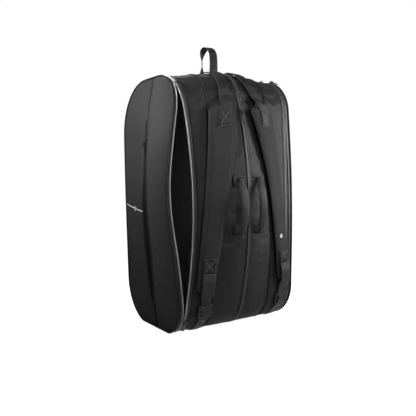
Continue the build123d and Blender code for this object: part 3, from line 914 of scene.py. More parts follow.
def wall_panel(name, side, span, material, puff, wave, seed, slack):
    """A padded panel of the outer wall between the depths that span(z) gives."""
    rows, across = 150, 40
    heights = wall_rows(rows, 0.0, 0.0004)
    us = shares(across)
    vs = [(z - heights[0]) / (heights[-1] - heights[0]) for z in heights]

    def place(u, v):
        z = heights[0] + (heights[-1] - heights[0]) * v
        ya, yb = span(z)
        y = ya + (yb - ya) * u
        return wall_sample(side, y, z)

    ya, yb = span(MID)
    lifts = soft_lift(place, us, vs, (abs(yb - ya), HEIGHT), puff, slack, 1.5)

    def faces(i, j):
        z, u = heights[i], us[j]
        ya, yb = span(z)
        y = ya + (yb - ya) * u
        rim = min(roll(u, abs(yb - ya), 0.008), roll(vs[i], HEIGHT * 0.6, 0.005))
        out = lifts[i, j] * min(1.0, crown(vs[i], 3.0) * 1.6)
        out += wave * fold((0, y, z), 7.0, seed) * crown(u, 4.0) - (1 - rim) * 0.0030
        return (wall_x(side, y, z, out), y, z), (wall_x(side, y, z, -CLOTH + 0.0002), y, z)

    return solid_grid(name, *two_sides(rows, across, faces), material)


def lid_ring(name, side, grow_in, grow_out, depth_a, depth_b, material, across=5):
    """A band round the lid's edge, following its bow."""
    stops = np.arange(0, LOOP, 0.5)

    def faces(i, j):
        depth = depth_a + (depth_b - depth_a) * j / (across - 1)
        pair = []
        for grow in (grow_out, grow_in):
            y, z = loop_point(outline(HALF, grow), stops[i])
            z = max(z, 0.0002)
            pair.append((wall_x(side, y, min(z, 0.765), -depth), y, z))
        return pair

    return solid_grid(name, *two_sides(len(stops), across, faces), material, wrap=True)


def lid_path(side, grow, depth):
    """Points and outward normals round the lid's edge."""
    path, normals = [], []
    for s in np.arange(0, LOOP, 0.5):
        y, z = loop_point(outline(HALF, grow), s)
        path.append(Vector((wall_x(side, y, z, -depth), y, z)))
        n = skin_normal(side * (HALF - 0.004), s)
        normals.append(Vector((0, n.y, n.z)).normalized())
    return path, normals


LID_DEPTH = HALF - PART_X
MARK_HALF = 0.00055  # half the width of a printed hairline
RING_HALF = 1.6 * MARK_HALF


def build_lid(side):
    """An outer wall: two padded panels, lining, piping, its narrow gusset and half of the zip."""
    name = NAMES[side]
    body = f"{name}_lid"
    front = wall_panel(f"{name}_wall_front", side, lambda z: (side_span(z)[0] + 0.0015, mouth_edges(z)[0]),
                       WALL_SMOOTH, 0.0034, 0.0004, 71 + side, slack=0.0008)
    put(front, body, "wall_smooth", f"{name}_wall_front_panel")
    rear = wall_panel(f"{name}_wall_rear", side, lambda z: (mouth_edges(z)[1], side_span(z)[1] - 0.0015),
                      WALL_WEAVE, 0.0024, 0.0004, 77 + side, slack=0.0007)
    put(rear, body, "wall_weave", f"{name}_wall_rear_panel")
    board = wall_like(f"{name}_lid_lining", lambda y, z: wall_x(side, y, z, -0.0050), 0.0010, LINING,
                      LINING_GROW)
    put(board, body, "lining", f"{name}_wall_board")

    path, normals = lid_path(side, 0.0006, 0.0006)
    path = above_floor(path, 0.0028)
    piping = tube(f"{name}_wall_pipe", path, 0.0027, PIPING, closed=True, normals=normals)
    put(piping, body, "piping", f"{name}_wall_piping")
    band = lid_ring(f"{name}_lid_band", side, -CLOTH, 0.0, 0.0020, LID_DEPTH - 0.001, SHELL)
    put(band, body, "shell_fabric", f"{name}_lid_gusset")
    tape_cloth, teeth = ZIP_LOOKS[side]
    tape = lid_ring(f"{name}_outer_tape", side, 0.0, 0.0011, 0.0060, LID_DEPTH - 0.0016, tape_cloth, 4)
    put(tape, body, "zip_tape", f"{name}_zip_outer_tape")
    path = above_floor(lid_path(side, 0.0004, LID_DEPTH - 0.0018)[0], 0.0016)
    coil(f"{name}_outer_coil", path, 0.0016, teeth, body, closed=True)
    lines = []
    for offset, end in ((0.0065, 0), (-0.0065, 1)):
        heights = np.linspace(0.02, HEIGHT - 0.02, 220)
        lines.append([wall_sample(side, side_span(z)[end] + offset, z, 0.0006) for z in heights])
    put(stitches(f"{name}_wall_stitches", lines, THREAD), body, "wall_smooth")
    build_pocket(side, name, body)
    if side < 0:
        build_wall_print(rear, body)


def ring(centre, radius, u, v):
    """Points round a circle, the first one again at the end."""
    angles = [TAU * k / 48 for k in range(49)]
    return [centre + u * (radius * math.cos(a)) + v * (radius * math.sin(a)) for a in angles]


def printed(name, surface, way, lines, body):
    """Thin printed lines laid onto a surface along way, each from its points and its half width."""
    mesh = surface.data
    tree = BVHTree.FromPolygons([v.co for v in mesh.vertices], [p.vertices for p in mesh.polygons])
    parts = []
    for points, half in lines:
        verts, faces = [], []
        for k, p in enumerate(points):
            run = (points[min(k + 1, len(points) - 1)] - points[max(k - 1, 0)]).normalized()
            edge = run.cross(way) * half
            verts += [tree.ray_cast(q, way)[0] - way * 0.00012 for q in (p + edge, p - edge)]
            if k:
                faces.append((2 * k - 2, 2 * k - 1, 2 * k + 1, 2 * k))
        parts.append(add_object(name, verts, faces, [(0, 0)] * len(verts), MARK))
    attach(joined(name, parts), body)


def build_wall_print(rear, body):
    """A printed hairline across the rear panel with a plain ring in it."""
    middle = Vector((-1, 0.077, 0.360))
    along = Vector((0, 0.147, 0.016)).normalized()
    lines = [(ring(middle, 0.0055, Vector((0, 1, 0)), Vector((0, 0, 1))), RING_HALF)]
    for start, stop in ((-0.059, -0.0095), (0.0095, 0.088)):
        lines.append(([middle + along * d for d in np.linspace(start, stop, 40)], MARK_HALF))
    printed("left_wall_print", rear, Vector((1, 0, 0)), lines, body)


def build_pocket(side, name, body):
    """The pocket zip down in the wall's mouth: a tape that climbs to the rear edge, near black as painted
    shade, and a coil.
    """
    heights = np.linspace(0.006, HEIGHT - 0.006, 160)
    across = 12

    def faces(i, j):
        z, u = heights[i], j / (across - 1)
        ya, yb = mouth_edges(z)
        climb = 0.0035 * min(1.0, max(0.0, (yb - ya - 0.0070) / 0.004))
        y = ya - 0.002 + (yb - ya + 0.0042) * u
        sink = 0.0033 - climb * max(0.0, (u - 0.45) / 0.55) ** 1.2
        return (wall_x(side, y, z, -sink), y, z), (wall_x(side, y, z, -0.0037), y, z)

    # the tape runs the wall's whole height under its seam; in the mouth it is the pocket zip's tape, and
    # its near black there and along the rest of the seam is painted shade in the groove
    tape = solid_grid(f"{name}_pocket_tape_seam_shade", *two_sides(len(heights), across, faces), SHADOW)
    put(tape, body, "zip_tape", f"{name}_pocket_zip")
    heights = np.linspace(0.072, 0.640, 130)
    path = [wall_sample(side, mouth_half(z)[0] + 0.006, z, -0.0022)[0] for z in heights]
    coil(f"{name}_pocket_coil", path, 0.0014, DARK_COIL, body, ripple=0.15)
    # the front panel's folded edge along the mouth, and its row of stitches
    edge = [(mouth_edges(z)[0] - 0.0014, z) for z in np.linspace(0.060, 0.665, 120)]
    hem, normals = zip(*(wall_sample(side, y, z, 0.0004) for y, z in edge))
    put(tube(f"{name}_mouth_hem", hem, 0.0017, WALL_SMOOTH, normals=normals), body, "wall_smooth")
    row = [wall_sample(side, y - 0.008, z, 0.0030) for y, z in edge]
    put(stitches(f"{name}_mouth_stitches", [row], THREAD), body, "wall_smooth")


def build_hinge_cloth(side):
    """The back edge, where the wall folds out of the gusset."""
    name = NAMES[side]
    rows, across = 90, 15
    first, last = START["bottom_back"] + 26.0, START["top_back"] + 12.0
    xs = np.linspace(PART_X - 0.010, HALF - 0.004, across)

    def faces(i, j):
        s = first + (last - first) * i / (rows - 1)
        n = skin_normal(side * min(xs[j], HALF - 0.006), s)
        base = skin(side * xs[j], s)
        return base + n * (0.0014 + 0.0006 * crown(j / (across - 1))), base + n * 0.0003

    cloth = solid_grid(f"{name}_hinge_cloth", *two_sides(rows, across, faces), SHELL)
    put(cloth, None, "shell_fabric")
    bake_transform(cloth)


# ---- shoulder straps ---------------------------------------------------------------------------

STRAP_TOP_X = {-1: -0.065, 1: 0.076}
STRAP_LOW_X = {-1: -0.131, 1: 0.155}
STRAP_TOP_Z, STRAP_LOW_Z = 0.640, 0.150
PAD_TOP, PAD_BOTTOM = 0.655, 0.131
WEB_TOP_X = {-1: -0.036, 1: 0.038}
WEB_LOW_X = {-1: -0.052, 1: 0.076}
BUCKLE_X = {-1: -0.127, 1: 0.155}
WEB = 0.0025
WEB_HALF, TAIL_HALF = 0.019, 0.015
PAD_IN, PAD_OUT = 0.002, 0.017
PAD_INSET = 0.0026  # from the bound edge to the pad inside it
BULGE = 0.0006  # of the buckle's end bars


def strap_middle(side, z):
    """X of a strap's middle at height z."""
    share = (STRAP_TOP_Z - z) / (STRAP_TOP_Z - STRAP_LOW_Z)
    return STRAP_TOP_X[side] + share * (STRAP_LOW_X[side] - STRAP_TOP_X[side])


def pad_half(z):
    """Half the pad's width at height z, before its ends are rounded."""
    return 0.028 + 0.014 * max(0.0, (z - STRAP_LOW_Z) / (STRAP_TOP_Z - STRAP_LOW_Z)) ** 1.6


def pad_half_at(z, inset):
    """Half the pad's width at height z, with its rounded ends."""
    half = pad_half(z) - inset
    r = 0.020 - inset
    for end, way in ((PAD_TOP - inset, 1), (PAD_BOTTOM + inset, -1)):
        d = r - way * (end - z)
        if d > 0:
            half -= r - math.sqrt(max(0.0, r * r - d * d))
    return max(half, 0.001)


def face_point(x, z, lift):
    """Point standing off the strap face at x and height z, and the outward direction there."""
    s = loop_at(x, z)
    n = skin_normal(x, s)
    return skin(x, s) + n * lift, n


def pad_grid(side, lifts):
    """Outer and inner points of a strap's pad; lifts(x, z, t, edge) says how far each stands out."""
    rows, across = 170, 44
    zs = PAD_BOTTOM + PAD_INSET + (PAD_TOP - PAD_BOTTOM - 2 * PAD_INSET) * shares(rows)
    zs[0] += 0.0002
    zs[-1] -= 0.0002
    mids = [strap_middle(side, z) for z in zs]
    facing = [skin_normal(x, loop_at(x, z)) for x, z in zip(mids, zs)]

    def faces(i, j):
        z, t, half = zs[i], spread(j, across), pad_half_at(zs[i], PAD_INSET)
        x = mids[i] + half * t
        edge = min((1 - abs(t)) * half, z - PAD_BOTTOM - PAD_INSET, PAD_TOP - PAD_INSET - z)
        base = skin(x, loop_at(x, z))
        return [base + facing[i] * lift for lift in lifts(x, z, t, edge)]

    return two_sides(rows, across, faces)


def build_strap(side):
    """A shoulder strap: quilted pad, bound edge, stitches and webbing."""
    name = NAMES[side]
    body = f"{name}_strap"
    middle = (PAD_IN + PAD_OUT) / 2

    def pad_lifts(x, z, t, edge):
        crowned = rise(edge, 0.011)
        wave = 0.0009 * fold((x, 0, z), 16.0, 91 + side) + 0.0005 * fold((x, 0, z), 40.0, 93 + side)
        seam = 0.0011 * math.exp(-((edge - 0.0100) / 0.0011) ** 2)
        full = 0.30 + 0.70 * crowned
        high_lift = middle + (PAD_OUT - middle) * full + 0.0010 * (1 - t * t) - seam + wave * crowned
        return high_lift - 0.0008, middle - (middle - PAD_IN) * full

    pad = solid_grid(f"{name}_pad", *pad_grid(side, pad_lifts), PAD)
    put(pad, body, "pad_fabric", f"{name}_strap_pad")
    if side > 0:
        centre = Vector((strap_middle(side, 0.270), -1, 0.270))
        circle = ring(centre, 0.0045, Vector((1, 0, 0)), Vector((0, 0, 1)))
        printed("right_pad_print", pad, Vector((0, 1, 0)), [(circle, RING_HALF)], body)

    # bound edge: a soft flattened tube round the pad
    zs = np.linspace(PAD_BOTTOM + PAD_INSET, PAD_TOP - PAD_INSET, 150)
    right = [Vector((strap_middle(side, z) + pad_half_at(z, PAD_INSET), 0, z)) for z in zs]
    left = [Vector((strap_middle(side, z) - pad_half_at(z, PAD_INSET), 0, z)) for z in reversed(zs)]
    flat = resample(right + left, 0.0035, closed=True)
    path, normals = zip(*(face_point(p.x, p.z, middle) for p in flat))
    binding = tube(f"{name}_bound_edge", path, 0.0026, BINDING, sides=12, closed=True, flat=1.65,
                   normals=normals)
    put(binding, body, "binding", f"{name}_strap_binding")
    lines = []
    for part in (1, -1):
        lines.append([face_point(strap_middle(side, z) + part * pad_half_at(z, 0.0068), z, 0.0135)
                      for z in np.linspace(PAD_BOTTOM + 0.016, PAD_TOP - 0.016, 170)])
    put(stitches(f"{name}_pad_stitches", lines, LIGHT_THREAD), body, "pad_fabric")

    build_upper_webbing(side, name, body)
    build_tail(side, name, body)


def ribbon(name, samples, halves, thick, material, across=8, sag=0.0):
    """Webbing along (point, normal, across-direction) samples, with rounded selvedges."""
    rows = len(samples)

    def faces(i, j):
        p, n, w = samples[i]
        half = halves[i] if hasattr(halves, "__len__") else halves
        t = spread(j, across)
        lift = thick * (0.5 + 0.5 * rise((1 - abs(t)) * half, 0.0016))
        droop = sag * (1 - t * t)
        p = p + w * (half * t)
        return p + n * (lift + droop), p + n * (thick - lift + droop * 0.6)

    return solid_grid(name, *two_sides(rows, across, faces), material)


def slanted(points):
    """Ribbon samples from (x, z, lift) points down the strap face, the webbing square to its run."""
    placed = [face_point(x, z, lift) for x, z, lift in points]
    samples = []
    for i, (p, n) in enumerate(placed):
        along = (placed[min(i + 1, len(placed) - 1)][0] - placed[max(i - 1, 0)][0]).normalized()
        w = along.cross(n).normalized()
        w = -w if w.x < 0 else w
        facing = w.cross(along).normalized()
        samples.append((p, facing if facing.dot(n) > 0 else -facing, w))
    return samples


def x_box(name, body, samples, half, lift):
    """A stitched box with a cross on a stretch of webbing: dense rows of short dashes, a dark frame and a
    lighter cross.
    """
    count = len(samples) - 1

    def place(u, v):
        x = min(max(v, 0.0), 1.0) * count
        i = min(int(x), count - 1)
        (p, n, w), (q, m, o) = samples[i], samples[i + 1]
        f = x - i
        normal = n.lerp(m, f).normalized()
        return p.lerp(q, f) + w.lerp(o, f) * (u * half) + normal * lift, normal

    def run(a, b):
        return [place(a[0] + (b[0] - a[0]) * k / 30, a[1] + (b[1] - a[1]) * k / 30) for k in range(31)]

    corners = ((-1, 0), (1, 0), (1, 1), (-1, 1))
    inset = ((-0.84, 0.08), (0.84, 0.08), (0.84, 0.92), (-0.84, 0.92))
    frame_lines = [run(box[i], box[(i + 1) % 4]) for box in (corners, inset) for i in range(4)]
    cross = [run(inset[0], inset[2]), run(inset[1], inset[3])]
    box = stitches(f"{name}_frame", frame_lines, THREAD, pitch=0.0020, width=0.0016, height=0.0007)
    middle = stitches(f"{name}_cross", cross, LIGHT_THREAD, pitch=0.0020, width=0.0022, height=0.0008)
    return put(joined(name, [box, middle]), body, "webbing")


def across_skin(x, s):
    """Direction across the hull at x and loop position s."""
    return (skin(x + 0.002, s) - skin(x - 0.002, s)).normalized()


def build_upper_webbing(side, name, body):
    """Webbing sewn onto the pad's head that runs up the face and over the top edge."""
    low_x, top_x = WEB_LOW_X[side], WEB_TOP_X[side]
    s_start, s_end = loop_at(low_x, 0.662), loop_at_y(-0.085)
    sewn_low, sewn_high = 0.596, 0.6605  # sewn to the pad between these heights
    turn_low, turn_high = 0.659, 0.757  # runs over to its place on top between these
    samples = []
    patch_x = strap_middle(side, 0.620)
    for k in range(30):
        v = k / 29
        z = sewn_low + (sewn_high - sewn_low) * v
        x = patch_x + (low_x - patch_x) * v
        p, n = face_point(x, z, PAD_OUT + 0.0010 * (1 - abs(2 * v - 0.9)) - 0.0004)
        samples.append((p, n, across_skin(x, loop_at(x, z))))
    x_samples = samples[2:21]
    for i in range(61):
        v = i / 60
        s = s_start + (s_end - s_start) * v
        share = min(1.0, max(0.0, (skin(top_x, s).z - turn_low) / (turn_high - turn_low)))
        x = low_x + (top_x - low_x) * share
        n = skin_normal(x, s)
        near_pad = max(0.0, 1 - i / 8)
        lift = 0.0014 + (PAD_OUT - 0.0014) * near_pad**2
        lift += 0.0030 * math.sin(math.pi * v) ** 0.7 * (1 - near_pad)
        samples.append((skin(x, s) + n * lift, n, across_skin(x, s)))
    web = ribbon(f"{name}_top_webbing", samples, WEB_HALF, WEB, WEBBING, across=14)
    put(web, None, "webbing", f"{name}_upper_webbing")
    tuple(face_point(low_x, 0.664, 0.02)[0])
    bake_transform(web)
    x_box(f"{name}_top_x_box", body, x_samples, WEB_HALF - 0.0030, WEB + 0.0002)


def build_tail(side, name, body):
    """Webbing from the pad's foot down to the buckle, its stitched box and its folded free end."""
    x0 = BUCKLE_X[side]
    sewn_top, pad_foot = 0.227, 0.128  # sewn to the pad between these heights
    slope = (strap_middle(side, 0.225) - x0) / (0.225 - pad_foot)
    points, halves = [], []
    for k in range(40):
        v = k / 39
        z = sewn_top - (sewn_top - pad_foot) * v
        lift = PAD_OUT + 0.0004 + 0.0006 * math.sin(math.pi * v * 2.2) ** 2
        points.append((x0 + slope * (z - pad_foot), z, lift))
        halves.append(WEB_HALF)
    for k in range(1, 14):
        v = k / 13
        points.append((x0, pad_foot - 0.033 * v, PAD_OUT * (1 - v) ** 1.6 + 0.0058 * v))
        halves.append(WEB_HALF + (TAIL_HALF - WEB_HALF) * min(1.0, v * 1.4))
    samples = slanted(points)
    web = ribbon(f"{name}_tail_webbing", samples, halves, WEB, WEBBING, across=14)
    put(web, body, "webbing", f"{name}_strap_tail")
    x_box(f"{name}_low_x_box", body, samples[1:15], WEB_HALF - 0.0032, WEB + 0.0002)
    # the free end, folded over below the box
    points = []
    for k in range(26):
        v = k / 25
        z = 0.187 - 0.062 * v
        lift = PAD_OUT + WEB + 0.0006 + 0.0034 * math.sin(math.pi * min(1.0, v * 1.1)) ** 1.5
        points.append((x0 + slope * (z - pad_foot) + side * 0.0020 * v, z, lift))
    flap = ribbon(f"{name}_tail_fold", slanted(points), WEB_HALF + 0.0006, WEB * 0.8, WEBBING, across=12)
    put(flap, body, "webbing")


def build_buckle(side):
    """The ladder lock, the webbing through it and the tab at the bottom corner."""
    name = NAMES[side]
    lock_low, lock_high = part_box(f"{name}_ladder_lock")
    x0 = BUCKLE_X[side]
    point, n = face_point(x0, (lock_low.z + lock_high.z) / 2, 0.0)
    across = Vector((1, 0, 0))
    down = across.cross(n).normalized()
    down = -down if down.z > 0 else down
    steps, sides = 13, 16

    def beam(key, a, b, wide, tall, level, bulge=0.0):
        """A rounded bar between local points a and b (across, down), standing level off the bag."""
        a, b = Vector(a), Vector(b)
        along = (b - a).normalized()
        verts = []
        for i in range(steps):
            v = i / (steps - 1)
            scale = max(rise(min(v, 1 - v) * (b - a).length, wide * 0.5), 0.05)
            for k in range(sides):
                cx, cz = math.cos(TAU * k / sides), math.sin(TAU * k / sides)
                local = a.lerp(b, v) + Vector((-along.y, along.x)) * (
                    math.copysign(abs(cx) ** 0.55, cx) * wide / 2 * scale)
                lift = level + math.copysign(abs(cz) ** 0.55, cz) * tall / 2 * scale
                lift += bulge * (1 - (2 * v - 1) ** 2)
                verts.append(point + across * local.x + down * local.y + n * lift)
        faces = []
        for i in range(steps - 1):
            for k in range(sides):
                m = (k + 1) % sides
                faces.append((i * sides + k, i * sides + m, (i + 1) * sides + m, (i + 1) * sides + k))
        faces += [tuple(range(sides)), tuple((steps - 1) * sides + k for k in range(sides))]
        bar = add_object(f"{name}_{key}", verts, faces, [(0, 0)] * len(verts), BUCKLE)
        fix_normals(bar)
        return bar

    w, h = 0.0235, 0.020  # half the buckle's width and height
    rail, end, slot = w - 0.0028, h - 0.001, w - 0.003  # where its rails, their ends and its bars lie
    bars = [
        beam("rail_a", (-rail, -end), (-rail, end), 0.0056, 0.0050, 0.0076),
        beam("rail_b", (rail, -end), (rail, end), 0.0056, 0.0050, 0.0076),
        beam("bar_top", (-w + 0.001, -h + 0.0028), (w - 0.001, -h + 0.0028), 0.0054, 0.0048, 0.0077, BULGE),
        beam("bar_mid", (-slot, -0.0068), (slot, -0.0068), 0.0046, 0.0044, 0.0079),
        beam("bar_low", (-slot, 0.0045), (slot, 0.0045), 0.0046, 0.0044, 0.0079),
        beam("bar_end", (-w + 0.001, h - 0.0030), (w - 0.001, h - 0.0030), 0.0058, 0.0050, 0.0077, BULGE),
    ]
    put(joined(f"{name}_buckle", bars), f"{name}_lock", "buckle_plastic", f"{name}_ladder_lock")
    # webbing threaded through the buckle, then down to the bottom corner
    threaded, lower = [], []
    for k in range(21):
        threaded.append((x0, 0.0955 - 0.0445 * k / 20, 0.0062 + 0.0042 * math.sin(math.pi * k / 20) ** 2))
        lower.append((x0, 0.052 - 0.044 * k / 20, 0.0058 - 0.0036 * min(1.0, k / 6)))
    web = ribbon(f"{name}_threaded_webbing", slanted(threaded), TAIL_HALF - 0.0004, WEB * 0.9, WEBBING, 12)
    put(web, f"{name}_lock", "webbing")
    web = ribbon(f"{name}_adjuster", slanted(lower), TAIL_HALF, WEB, WEBBING, across=12)
    put(web, "bag", "webbing", f"{name}_adjuster_webbing")
    tab = ribbon(f"{name}_anchor_tab", slanted([(x0, 0.034 - 0.028 * k / 14, 0.0003) for k in range(15)]),
                 [0.017 + 0.002 * k / 14 for k in range(15)], 0.0016, SHELL, across=12)
    put(tab, "bag", "shell_fabric", *(("strap_anchor_tabs",) if side < 0 else ()))


# ---- carry handles and grab loop ---------------------------------------------------------------

HANDLE_LOW, HANDLE_HIGH = 0.293, 0.445
GRIP_HALF, GRIP_THICK = 0.013, 0.0060
PATCH_HALF = 0.0235
PATCHES = (("low", 0.287, 0.318), ("high", 0.427, 0.457))  # each patch's lower and upper edge


def build_handle(side):
    """A carry handle on its two patches."""
    name = NAMES[side]
    body = f"{name}_handle"
    box_low, box_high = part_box(f"{name}_carry_handle")
    middle = (box_low.x + box_high.x) / 2
    tip_y, root_y = box_low.y, box_high.y
    mid_z = (HANDLE_LOW + HANDLE_HIGH) / 2
    half_z = (HANDLE_HIGH - HANDLE_LOW) / 2 + 0.006
    reach = root_y - tip_y
    radius = (half_z**2 + reach**2) / (2 * reach)
    centre_y = tip_y + radius
    rows, across = 90, 20

    def arc(v):
        """Point on the grip's arc at share v of its height, and the outward direction there."""
        z = mid_z - half_z + 2 * half_z * v
        dz = z - mid_z
        y = centre_y - math.sqrt(radius**2 - dz * dz)
        return Vector((middle, y, z)), Vector((0, y - centre_y, dz)).normalized()

    def faces(i, j):
        v, t = i / (rows - 1), spread(j, across)
        p, n = arc(v)
        end = min(v, 1 - v) * 2 * half_z
        narrowed = min(1.0, 0.46 + 0.54 * max(0.0, (end - 0.010)) / 0.020) if end < 0.030 else 1.0
        half = GRIP_HALF * narrowed
        plump = GRIP_THICK * (0.55 + 0.45 * min(1.0, end / 0.020))
        wave = 0.0005 * fold((middle, 0, mid_z - half_z + 2 * half_z * v), 60.0, 130 + side)
        rim = rise((1 - abs(t)) * half, 0.0042)
        seam = 0.0005 * math.exp(-((abs(t) - 0.72) / 0.06) ** 2)
        full = plump * 0.5 * (0.25 + 0.75 * rim)
        centre = p - n * 0.0032 + Vector((half * t, 0, 0))
        return centre + n * (full + 0.0012 * (1 - t * t) - seam + wave * rim), centre - n * full

    handle = solid_grid(f"{name}_handle_grip", *two_sides(rows, across, faces), HANDLE)
    put(handle, None, "handle_fabric", f"{name}_carry_handle")
    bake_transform(handle)
    lines = []
    for part in (1, -1):
        placed = [arc(k / 120) for k in range(18, 103)]
        lines.append([(p + Vector((part * 0.0094, 0, 0)) - n * 0.0004, n) for p, n in placed])
    put(stitches(f"{name}_handle_stitches", lines, LIGHT_THREAD, pitch=0.0036), body, "handle_fabric")

    patch_x = SHIFT + side * 0.032
    patches = []
    for key, za, zb in PATCHES:
        heights = [za + (zb - za) * k / 19 for k in range(20)]
        samples = [(*face_point(patch_x, z, 0.0007), Vector((1, 0, 0))) for z in heights]
        patches.append(ribbon(f"{name}_patch_{key}", samples, PATCH_HALF, 0.0020, SHELL, 16, 0.0004))
        slit_z = za + 0.006 if key == "low" else zb - 0.006
        # a near-black flattened tube where the handle enters its patch: painted shade in the slit
        slit_shade = [face_point(patch_x + (k / 4 - 1) * 0.015, slit_z, 0.0032)[0] for k in range(9)]
        put(tube(f"{name}_slit_{key}", slit_shade, 0.0024, SHADOW, sides=8, flat=0.5), "bag", "lining")
        z0, z1 = za + 0.002, zb - 0.002
        corners = [(-0.021, z0), (0.021, z0), (0.021, z1), (-0.021, z1)]
        rect = []
        for (xa, a), (xb, b) in zip(corners, corners[1:] + corners[:1]):
            rect.append([face_point(patch_x + xa + (xb - xa) * q / 16, a + (b - a) * q / 16, 0.0029)
                         for q in range(17)])
        rect = stitches(f"{name}_patch_stitches_{key}", rect, LIGHT_THREAD, pitch=0.0036)
        put(rect, "bag", "handle_fabric")
    put(joined(f"{name}_handle_patch", patches), "bag", "handle_fabric",
        *(("handle_patches",) if side < 0 else ()))


def build_grab_loop():
    """The webbing loop on top of the bag and its two stitched feet."""
    top = high("top_loop").z
    y_low, y_high = low("top_loop").y, high("top_loop").y
    foot_z = 0.7720
    centre_y = (y_low + y_high) / 2
    radius = (y_high - y_low) / 2 - 0.0015
    spring = top - radius - 0.0015
    leg = spring - foot_z
    arc = math.pi * radius
    count = 96
    samples, halves = [], []
    for i in range(count + 1):
        v = i / count
        d = (2 * leg + arc) * v
        if d < leg:
            p, n = Vector((SHIFT, centre_y - radius, foot_z + d)), Vector((0, -1, 0))
        elif d < leg + arc:
            a = (d - leg) / radius
            n = Vector((0, -math.cos(a), math.sin(a)))
            p = Vector((SHIFT, centre_y, spring)) + n * radius
        else:
            p, n = Vector((SHIFT, centre_y + radius, spring - (d - leg - arc))), Vector((0, 1, 0))
        # the rear leg turns a little and both legs lean in at their feet
        turned = Matrix.Rotation(math.radians(60) * math.exp(-(((v - 0.80) / 0.17) ** 2)), 3, "Z")
        p += Vector((0.0018 * math.sin(TAU * v * 1.5), 0, 0)) - n * 0.0012
        samples.append((p, turned @ n, turned @ Vector((1, 0, 0))))
        halves.append(0.015 - 0.0008 * math.sin(math.pi * v))
    web = ribbon("grab_loop_webbing", samples, halves, 0.0026, WEBBING, across=14)
    put(web, None, "webbing", "top_loop")
    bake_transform(web)
    for i, leg_y in enumerate((centre_y - radius, centre_y + radius)):
        ys = leg_y + 0.012 * np.linspace(-1, 1, 20)
        points = [(Vector((SHIFT, y, top_z(SHIFT, y) + 0.0004)), Vector((0, 0, 1)), Vector((1, 0, 0)))
                  for y in ys]
        foot = ribbon(f"grab_loop_foot_{i}", points, 0.0165, 0.0022, WEBBING, across=14)
        put(foot, "bag", "webbing", *(("top_loop_tabs",) if i == 0 else ()))


def top_z(x, y):
    """Height of the bag's top at x and depth y."""
    over = outline(x)[[k % LOOP for k in range(-COUNTS[7], COUNTS[0] + COUNTS[1])]]
    over = over[np.argsort(over[:, 0])]
    return float(np.interp(y, over[:, 0], over[:, 1]))


# ---- zip hardware ------------------------------------------------------------------------------


def soften(node, width=0.0005):
    """A CAD node shown as it is, with a slightly rounded edge and a finish."""
    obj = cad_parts[node]
    obj.data.materials.clear()
    obj.data.materials.append(METAL)
    for polygon in obj.data.polygons:
        polygon.use_smooth = False
    bevel = obj.modifiers.new("edges", "BEVEL")
    bevel.width = width
    bevel.segments = 3
    bevel.limit_method = "ANGLE"
    bevel.angle_limit = math.radians(40)
    obj.data.update()


ZIPS = (
    "center_zip", "left_upper", "left_lower", "right_upper", "right_lower", "left_pocket", "right_pocket",
)


# ---- build everything --------------------------------------------------------------------------

build_center()
build_center_zip()
build_seam_piping()
for side in (-1, 1):
    build_side(side)
    build_lid(side)
    build_hinge_cloth(side)
    build_strap(side)
    build_buckle(side)
    build_handle(side)
build_grab_loop()
for key in ZIPS:
    soften(f"{key}_slider")
    soften(f"{key}_pull", 0.0004)


# ---- floor, light and camera -------------------------------------------------------------------

floor_material, floor_tree, floor_bsdf = shader("studio_floor", (0.93, 0.93, 0.93), 0.80)
bpy.ops.mesh.primitive_plane_add(size=14, location=(0, 0, 0))
floor = bpy.context.object
floor.name = "studio_ground"
floor.data.materials.append(floor_material)
# the backdrop paper reads white to the camera and throws little light back up at the bag
floor_seen = floor_tree.nodes.new("ShaderNodeLightPath")
floor_bsdf.inputs["Emission Color"].default_value = (1.0, 1.0, 1.0, 1)
floor_tree.links.new(math_node(floor_tree, "MULTIPLY", floor_seen.outputs["Is Camera Ray"], 0.86),
                     floor_bsdf.inputs["Emission Strength"])

world = bpy.data.worlds.new("studio")
world.use_nodes = True
bpy.context.scene.world = world
bpy.context.scene.view_settings.view_transform = "Standard"
world_nodes, world_links = world.node_tree.nodes, world.node_tree.links
sky = world_nodes["Background"]
backdrop = world_nodes.new("ShaderNodeBackground")
for background, strength in ((sky, 0.04), (backdrop, 1.0)):  # lights the bag; seen by the camera
    background.inputs["Color"].default_value = (1.0, 1.0, 1.0, 1)
    background.inputs["Strength"].default_value = strength
seen = world_nodes.new("ShaderNodeLightPath")
either = world_nodes.new("ShaderNodeMixShader")
for i, output in enumerate((seen.outputs["Is Camera Ray"], sky.outputs[0], backdrop.outputs[0])):
    world_links.new(output, either.inputs[i])
world_links.new(either.outputs[0], world_nodes["World Output"].inputs["Surface"])


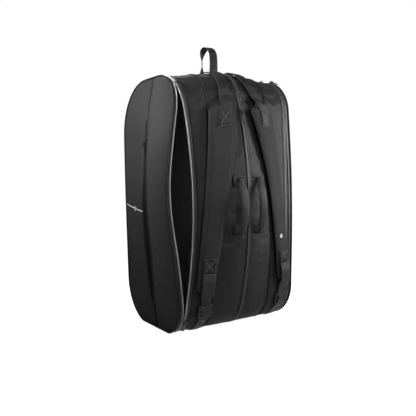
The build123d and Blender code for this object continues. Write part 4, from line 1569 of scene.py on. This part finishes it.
def area(name, location, target, size, power, spread):
    """A square soft light of so many metres, watts and degrees, aimed at a target."""
    light = bpy.data.lights.new(name, "AREA")
    light.shape = "RECTANGLE"
    light.size = light.size_y = size
    light.energy = power
    light.spread = math.radians(spread)
    obj = bpy.data.objects.new(name, light)
    obj.location = location
    obj.rotation_euler = (Vector(target) - Vector(location)).to_track_quat("-Z", "Y").to_euler()
    bpy.context.scene.collection.objects.link(obj)


dome = bpy.data.lights.new("overhead", "SUN")
dome.energy = 0.6
dome.angle = math.radians(40)
dome_object = bpy.data.objects.new("overhead", dome)
bpy.context.scene.collection.objects.link(dome_object)
area("key_left", (-0.95, -0.10, 1.20), (-0.24, 0, 0.72), 0.4, 3.8, 44)
area("front_high", (0.1, -2.0, 1.15), (0, -0.1, 0.42), 0.8, 2.5, 40)
area("front_low", (-0.3, -2.6, 0.6), (0, -0.1, 0.40), 0.8, 0.25, 60)
area("rim_right", (1.5, -1.0, 0.72), (0.1, -0.1, 0.50), 0.5, 4.9, 50)
area("back_high", (0.5, 1.8, 1.7), (0.05, 0, 0.70), 0.8, 4.5, 60)
area("left_back", (-1.5, 0.8, 1.3), (-0.2, 0.05, 0.78), 0.6, 1.0, 32)

camera_data = bpy.data.cameras.new("camera")
camera = bpy.data.objects.new("camera", camera_data)
bpy.context.scene.collection.objects.link(camera)
bpy.context.scene.camera = camera
camera_data.lens = 47.54
camera_data.sensor_width = 36
camera_data.shift_x = 0.0048
camera_data.shift_y = -0.0352
camera_data.dof.use_dof = False
AZIMUTH, FALL, ROLL = math.radians(-32.5), math.radians(2.96), math.radians(-1.31)
DISTANCE, EYE_HEIGHT = 1.770, 0.491
camera.location = (DISTANCE * math.sin(AZIMUTH), -DISTANCE * math.cos(AZIMUTH), EYE_HEIGHT)
aim = Vector((-math.sin(AZIMUTH) * math.cos(FALL), math.cos(AZIMUTH) * math.cos(FALL), -math.sin(FALL)))
turn = aim.to_track_quat("-Z", "Y").to_matrix().to_4x4() @ Matrix.Rotation(ROLL, 4, "Z")
camera.rotation_euler = turn.to_euler()
